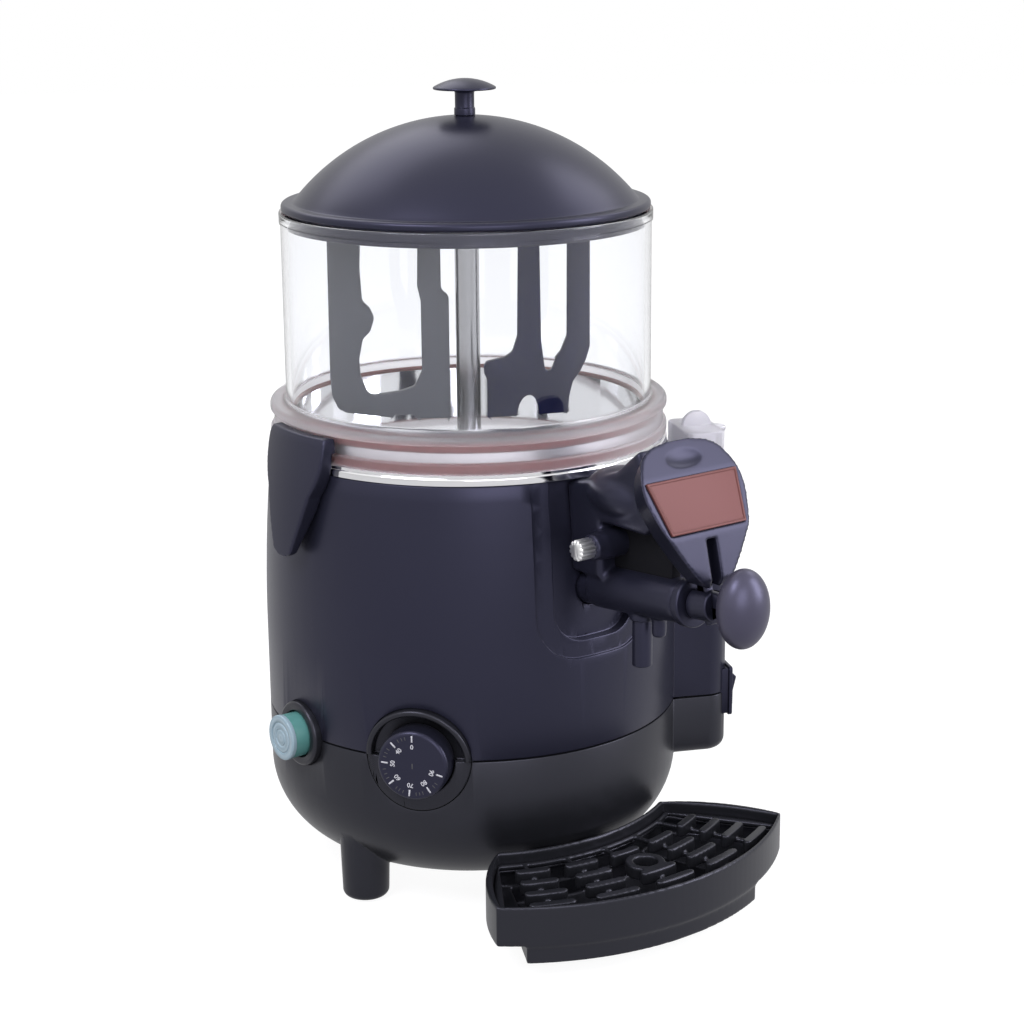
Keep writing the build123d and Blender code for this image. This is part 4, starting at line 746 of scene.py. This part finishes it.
def bladeLoop(name, corners):
    s = bladeSet
    outline = []
    for across, up in corners:
        atEnd = up > s["endHigh"] or up < s["endLow"]
        corner = s["endCorner"] if atEnd else s["corner"]
        outline.append((across / 100 * s["reach"], s["lowZ"] + up / 100 * s["tall"], corner))
    points = [Vector((p.x * mm, p.y * mm, 0)) for p in roundCorners(outline, True)]
    loop = drawLine(name, points + [points[0].copy()])
    editAll(loop)
    bpy.ops.mesh.remove_doubles(threshold=s["weld"] * mm)
    bpy.ops.object.mode_set(mode="OBJECT")
    return loop


def makeBlade(name, outer, window, finish, slot, node):
    s = bladeSet
    blade = joinAll([bladeLoop(name, s[outer]), bladeLoop(name + "Window", s[window])], name)
    editAll(blade)
    bpy.ops.mesh.fill()
    bpy.ops.mesh.extrude_region_move(TRANSFORM_OT_translate={"value": (0, 0, s["wall"] * mm)})
    bpy.ops.mesh.select_all(action="SELECT")
    bpy.ops.transform.translate(value=(0, 0, -s["wall"] / 2 * mm))
    bpy.ops.object.mode_set(mode="OBJECT")
    blade.rotation_euler = (math.pi / 2, 0, math.radians(s["turn"]))
    cleanMesh(applyPlace(blade))
    finishPiece(soften(blade, s["edge"], angle=s["crease"]), "agitator", finish, slot, node)


makeBlade("wideBlade", "wide", "wideWindow", greyBlade, "wide_grey", "wide_blade")
makeBlade("narrowBlade", "narrow", "narrowWindow", navyBlade, "blade_navy", "narrow_blade")
print("stirring blades")


# Tap: moulded neck and barrel, head with a finger dimple, plaque, lever and knob
acrossTurn = (0, math.pi / 2, 0)
roundSet = {"segments": 48, "rings": 24, "sides": 48}
tapSet = {"bodyVoxel": 0.75, "bodyPasses": 40, "headVoxel": 0.65, "headPasses": 14}
neckSet = {"at": (0, -149.0, 254.0), "half": (19.0, 31.0, 15.0)}
rootSet = {"at": (0, -160.0, 200.3), "r": 13.5, "tipR": 12.4, "half": 35.0, "lean": 84.5}
collarSet = {"r": 7.6, "half": 24.4}
# the sheet under the neck is painted shade, not a part of the tap
shadeSheetSet = {"at": (0, -162.0, 221.0), "size": (8.0, 52.0, 42.0), "crest": 0.6, "edge": 1.2}
dimpleSet = {"at": (0, -193.8, 283.4), "half": (15.4, 6.6, 2.4), "lean": 54.6}
plaqueSet = {"at": (0, -206.0, 261.0), "lean": 30.0, "topWidth": 63.0, "lowWidth": 52.0, "height": 30.0,
             "wall": 1.8, "bed": 0.8, "border": 1.1, "slope": 0.5, "sink": 0.4, "edge": 0.3, "crease": 15}
tapKnobSet = {"at": (0, -240.5, 210.5), "half": (15.5, 12.4, 21.8), "segments": 72, "rings": 40,
              "seat": 1.1, "edge": 0.8, "crease": 25}
pinSet = {"at": (0, -144.0, 226.5), "r": 5.9, "length": 9.6, "inner": 24.4, "stemR": 3.4, "overlap": 1.0,
          "flutes": 12, "perFlute": 4, "cut": 1.0, "rim": 1.1, "crown": 0.7, "edge": 0.25, "segments": 2,
          "crease": 35, "stemEdge": 0.3}


def addBall(at, half, lean=0.0):
    deselectAll()
    bpy.ops.mesh.primitive_uv_sphere_add(
        segments=roundSet["segments"], ring_count=roundSet["rings"], radius=1.0)
    ball = bpy.context.object
    ball.scale = [size * mm for size in half]
    ball.rotation_euler = (math.radians(lean), 0, 0)
    ball.location = Vector(at) * mm
    return applyPlace(ball)


def addRod(at, r, tipR, half, turn):
    deselectAll()
    bpy.ops.mesh.primitive_cone_add(
        vertices=roundSet["sides"], radius1=r * mm, radius2=tipR * mm, depth=2 * half * mm)
    rod = bpy.context.object
    rod.rotation_euler = turn
    rod.location = Vector(at) * mm
    return applyPlace(rod)


def makeTapBody():
    # the remesh runs the neck's bulge, the barrel's root and the collars into one moulding
    rootTurn = (math.radians(rootSet["lean"]), 0, 0)
    body = joinAll([
        copyNode("tap_body", "tapBody"),
        addBall(neckSet["at"], neckSet["half"]),
        addRod(rootSet["at"], rootSet["r"], rootSet["tipR"], rootSet["half"], rootTurn),
        addRod(pinSet["at"], collarSet["r"], collarSet["r"], collarSet["half"], acrossTurn),
    ], "tapBody")
    mould(body, tapSet["bodyVoxel"], tapSet["bodyPasses"])
    finishPiece(body, "base", black, "black_plastic", "tap_body")


def makeShadeSheet():
    # a dark sheet under the neck, narrower at its crest, put there as painted shade for the shadow under the
    # neck
    s = shadeSheetSet
    deselectAll()
    bpy.ops.mesh.primitive_cube_add(size=mm)
    shadeSheet = bpy.context.object
    shadeSheet.name = "paintedShadeSheet"
    shadeSheet.scale = s["size"]
    applyPlace(shadeSheet)
    pickEdges(shadeSheet, lambda co: co.z > 0)
    bpy.ops.transform.resize(value=(s["crest"], 1, 1))
    bpy.ops.object.mode_set(mode="OBJECT")
    soften(shadeSheet, s["edge"])
    shadeSheet.location = Vector(s["at"]) * mm
    finishPiece(applyPlace(shadeSheet), "base", paintedShadeDeepBlack, "black_plastic")


def makeTapHead():
    s = dimpleSet
    head = copyNode("tap_head", "tapHead")
    cutAway(head, addBall(s["at"], s["half"], s["lean"]))
    mould(head, tapSet["headVoxel"], tapSet["headPasses"])
    finishPiece(head, "base", black, "black_plastic", "tap_head")


def makePlaque():
    s = plaqueSet
    deselectAll()
    bpy.ops.mesh.primitive_cube_add(size=1.0)
    plaque = bpy.context.object
    plaque.name = "headPlaque"
    plaque.scale = (s["lowWidth"] * mm, s["height"] * mm, s["wall"] * mm)
    applyPlace(plaque)
    spread = s["topWidth"] / s["lowWidth"]
    pickEdges(plaque, lambda co: co.y > 0)
    bpy.ops.transform.resize(value=(spread, 1, 1))
    # a raised border round a bare panel
    pickFaces(plaque, Vector((0, 0, 1)))
    bpy.ops.mesh.inset(thickness=s["border"] * mm)
    bpy.ops.mesh.inset(thickness=s["slope"] * mm)
    bpy.ops.transform.translate(value=(0, 0, -s["sink"] * mm))
    bpy.ops.object.mode_set(mode="OBJECT")
    soften(plaque, s["edge"], angle=s["crease"])
    lean = math.radians(s["lean"])
    out = Vector((0, -math.cos(lean), math.sin(lean)))
    plaque.rotation_euler = (math.pi / 2 - lean, 0, 0)
    plaque.location = Vector(s["at"]) * mm + out * (s["wall"] / 2 - s["bed"]) * mm
    applyPlace(plaque)
    finishPiece(plaque, "base", copperPlaque, "plaque_copper", "head_plaque")


def makeTapKnob():
    s = tapKnobSet
    deselectAll()
    bpy.ops.mesh.primitive_uv_sphere_add(segments=s["segments"], ring_count=s["rings"], radius=1.0)
    knob = bpy.context.object
    knob.name = "tapKnob"
    knob.scale = [half * mm for half in s["half"]]
    knob.location = Vector(s["at"]) * mm
    applyPlace(knob)
    # flat seat where the lever's arm enters
    editAll(knob)
    seatY = (s["at"][1] + s["half"][1] - s["seat"]) * mm
    bpy.ops.mesh.bisect(plane_co=(0, seatY, 0), plane_no=(0, 1, 0), use_fill=True, clear_outer=True)
    bpy.ops.object.mode_set(mode="OBJECT")
    soften(knob, s["edge"], angle=s["crease"])
    finishPiece(knob, "tap_lever", satinPaintedLight, "black_plastic", "tap_knob")


def makeLockPin():
    s = pinSet
    points = s["flutes"] * s["perFlute"]
    pull = 1 - s["cut"] / s["r"]

    def inFlute(co):
        return round(math.atan2(co.y, co.x) / fullTurn * points) % s["perFlute"] == 0

    ends = []
    for side in (-1, 1):
        deselectAll()
        bpy.ops.mesh.primitive_cylinder_add(vertices=points, radius=s["r"] * mm, depth=s["length"] * mm)
        knob = bpy.context.object
        # one edge of each flute is pulled in
        pickEdges(knob, inFlute)
        bpy.ops.transform.resize(value=(pull, pull, 1))
        bpy.ops.object.mode_set(mode="OBJECT")
        pickFaces(knob, Vector((0, 0, 1)))
        bpy.ops.mesh.inset(thickness=s["rim"] * mm)
        bpy.ops.transform.translate(value=(0, 0, s["crown"] * mm))
        bpy.ops.object.mode_set(mode="OBJECT")
        soften(knob, s["edge"], s["segments"], s["crease"])
        knob.rotation_euler = (0, side * math.pi / 2, 0)
        knob.location = (Vector(s["at"]) + Vector((side * (s["inner"] + s["length"] / 2), 0, 0))) * mm
        ends.append(applyPlace(knob))
    stem = addRod(s["at"], s["stemR"], s["stemR"], s["inner"] + s["overlap"], acrossTurn)
    pin = joinAll([soften(stem, s["stemEdge"])] + ends, "lockPin")
    finishPiece(pin, "base", knurled, "rim_steel", "lock_pin")


makeTapBody()
makeShadeSheet()
makeTapHead()
makePlaque()
makeTapKnob()
makeLockPin()
for node, name, body, width in (
    ("tap_lever", "tapLever", "tap_lever", 0.7),
    ("tap_end_ring", "tapEndRing", "base", 0.4),
    ("nozzle", "tapNozzle", "base", 0.5),
):
    finishPiece(softCopy(node, name, width), body, black, "black_plastic", node)
print("tap")


# Bowl clips, soft shields
clipSet = {"voxel": 0.6, "passes": 14}
for side in ("left", "right"):
    clip = mould(copyNode("clip_" + side, side + "Clip"), clipSet["voxel"], clipSet["passes"])
    finishPiece(clip, "clip_" + side, black, "black_plastic", "clip_" + side)
print("clips")


# Casing shells with broken edges
shellSet = {"edge": 0.7, "segments": 2}
# the lower shell takes the darker copy of the black plastic, which is painted shade
for node, name, finish in (("lower_shell", "lowerShell", lowPaintedShadeBlack), ("upper_shell", "upperShell", black)):
    shell = softCopy(node, name, shellSet["edge"], shellSet["segments"])
    finishPiece(shell, "base", finish, "black_plastic", node)
print("casing shells")


# Drip tray and its grid, remeshed and smoothed so that lips and bars are round
traySet = {
    "drip_tray": {"name": "dripTray", "voxel": 0.9, "passes": 8},
    "tray_grid": {"name": "trayGrid", "voxel": 0.75, "passes": 10},
}
for node, s in traySet.items():
    piece = mould(copyNode(node, s["name"]), s["voxel"], s["passes"])
    finishPiece(piece, node, lowPaintedShadeBlack, "black_plastic", node)
print("drip tray and grid")


# Thermostat dial with its scale, and the hood over it
dialSet = {
    "angle": -51.0, "seamZ": 100.0, "faceReach": 134.0, "proud": 0.12,
    "tickIn": 14.3, "tickOut": 18.2, "tickWidth": 0.95, "numberR": 11.4, "numberSize": 3.7,
    "minorIn": 15.6, "minorOut": 17.6, "minorWidth": 0.5, "midHalf": 1.6, "midWidth": 0.7,
    "knobEdge": 0.5, "hoodEdge": 0.8, "tickEdge": 0.09, "tickSegments": 2, "numberSwell": 0.07,
    "scale": ((0, "0"), (-43, "40"), (-86, "50"), (-130, "60"), (-173, "70"), (-215, "80"), (-255, "90")),
    "minor": (-14, -21, -29, -57, -66, -74, -100, -110, -119, -145, -152, -160, -187, -194, -201, -228, -236),
}


def dialTick(near, far, width, angle):
    s = dialSet
    deselectAll()
    bpy.ops.mesh.primitive_cube_add(size=1.0)
    tick = bpy.context.object
    tick.scale = (width * mm, (far - near) * mm, 2 * s["proud"] * mm)
    tick.location = (0, (near + far) / 2 * mm, 0)
    applyPlace(tick)
    soften(tick, s["tickEdge"], s["tickSegments"])
    tick.rotation_euler = (0, 0, math.radians(-angle))
    return applyPlace(tick)


def dialNumber(angle, words):
    s = dialSet
    deselectAll()
    bpy.ops.object.text_add()
    number = bpy.context.object
    number.data.body = words
    number.data.align_x = "CENTER"
    number.data.align_y = "CENTER"
    number.data.size = s["numberSize"] * mm
    number.data.extrude = s["proud"] * mm
    number.data.offset = s["numberSwell"] * mm
    bpy.ops.object.convert(target="MESH")
    number = bpy.context.object
    turn = math.radians(-angle)
    number.rotation_euler = (0, 0, turn)
    number.location = (-math.sin(turn) * s["numberR"] * mm, math.cos(turn) * s["numberR"] * mm, 0)
    return applyPlace(number)


def makeDial():
    s = dialSet
    finishPiece(softCopy("dial", "dialKnob", s["knobEdge"]), "dial", black, "black_plastic", "dial")
    white = []
    for angle, words in s["scale"]:
        white.append(dialTick(s["tickIn"], s["tickOut"], s["tickWidth"], angle))
        white.append(dialNumber(angle, words))
    grey = [dialTick(s["minorIn"], s["minorOut"], s["minorWidth"], angle) for angle in s["minor"]]
    grey.append(dialTick(-s["midHalf"], s["midHalf"], s["midWidth"], 0))
    for marks, name, finish in ((white, "dialScale", markWhite), (grey, "dialMinor", markGrey)):
        piece = joinAll(marks, name)
        piece.matrix_world = radialPlace(s["angle"], s["faceReach"], s["seamZ"])
        applyPlace(piece)
        cleanMesh(piece)
        finishPiece(piece, "dial", finish, "black_plastic")
    hood = softCopy("dial_cup", "dialHood", s["hoodEdge"])
    finishPiece(hood, "base", lowPaintedShadeBlack, "black_plastic", "dial_cup")


makeDial()
print("dial")


# Push button in its bezel, rocker and filler cap
for node, name, body, finish, slot, width in (
    ("button_bezel", "buttonBezel", "base", lowPaintedShadeBlack, "black_plastic", 1.0),
    ("button", "buttonBarrel", "button", greenPlastic, "button_green", 0.12),
    ("button_cap", "buttonCap", "button", milky, "clear_plastic", 0.25),
    ("rocker_frame", "rockerFrame", "base", black, "black_plastic", 0.5),
    ("rocker", "rockerKey", "rocker", black, "black_plastic", 0.6),
    ("filler_cap", "fillerCap", "filler_cap", frosted, "clear_plastic", 0.6),
):
    finishPiece(softCopy(node, name, width), body, finish, slot, node)
print("button, rocker and filler")
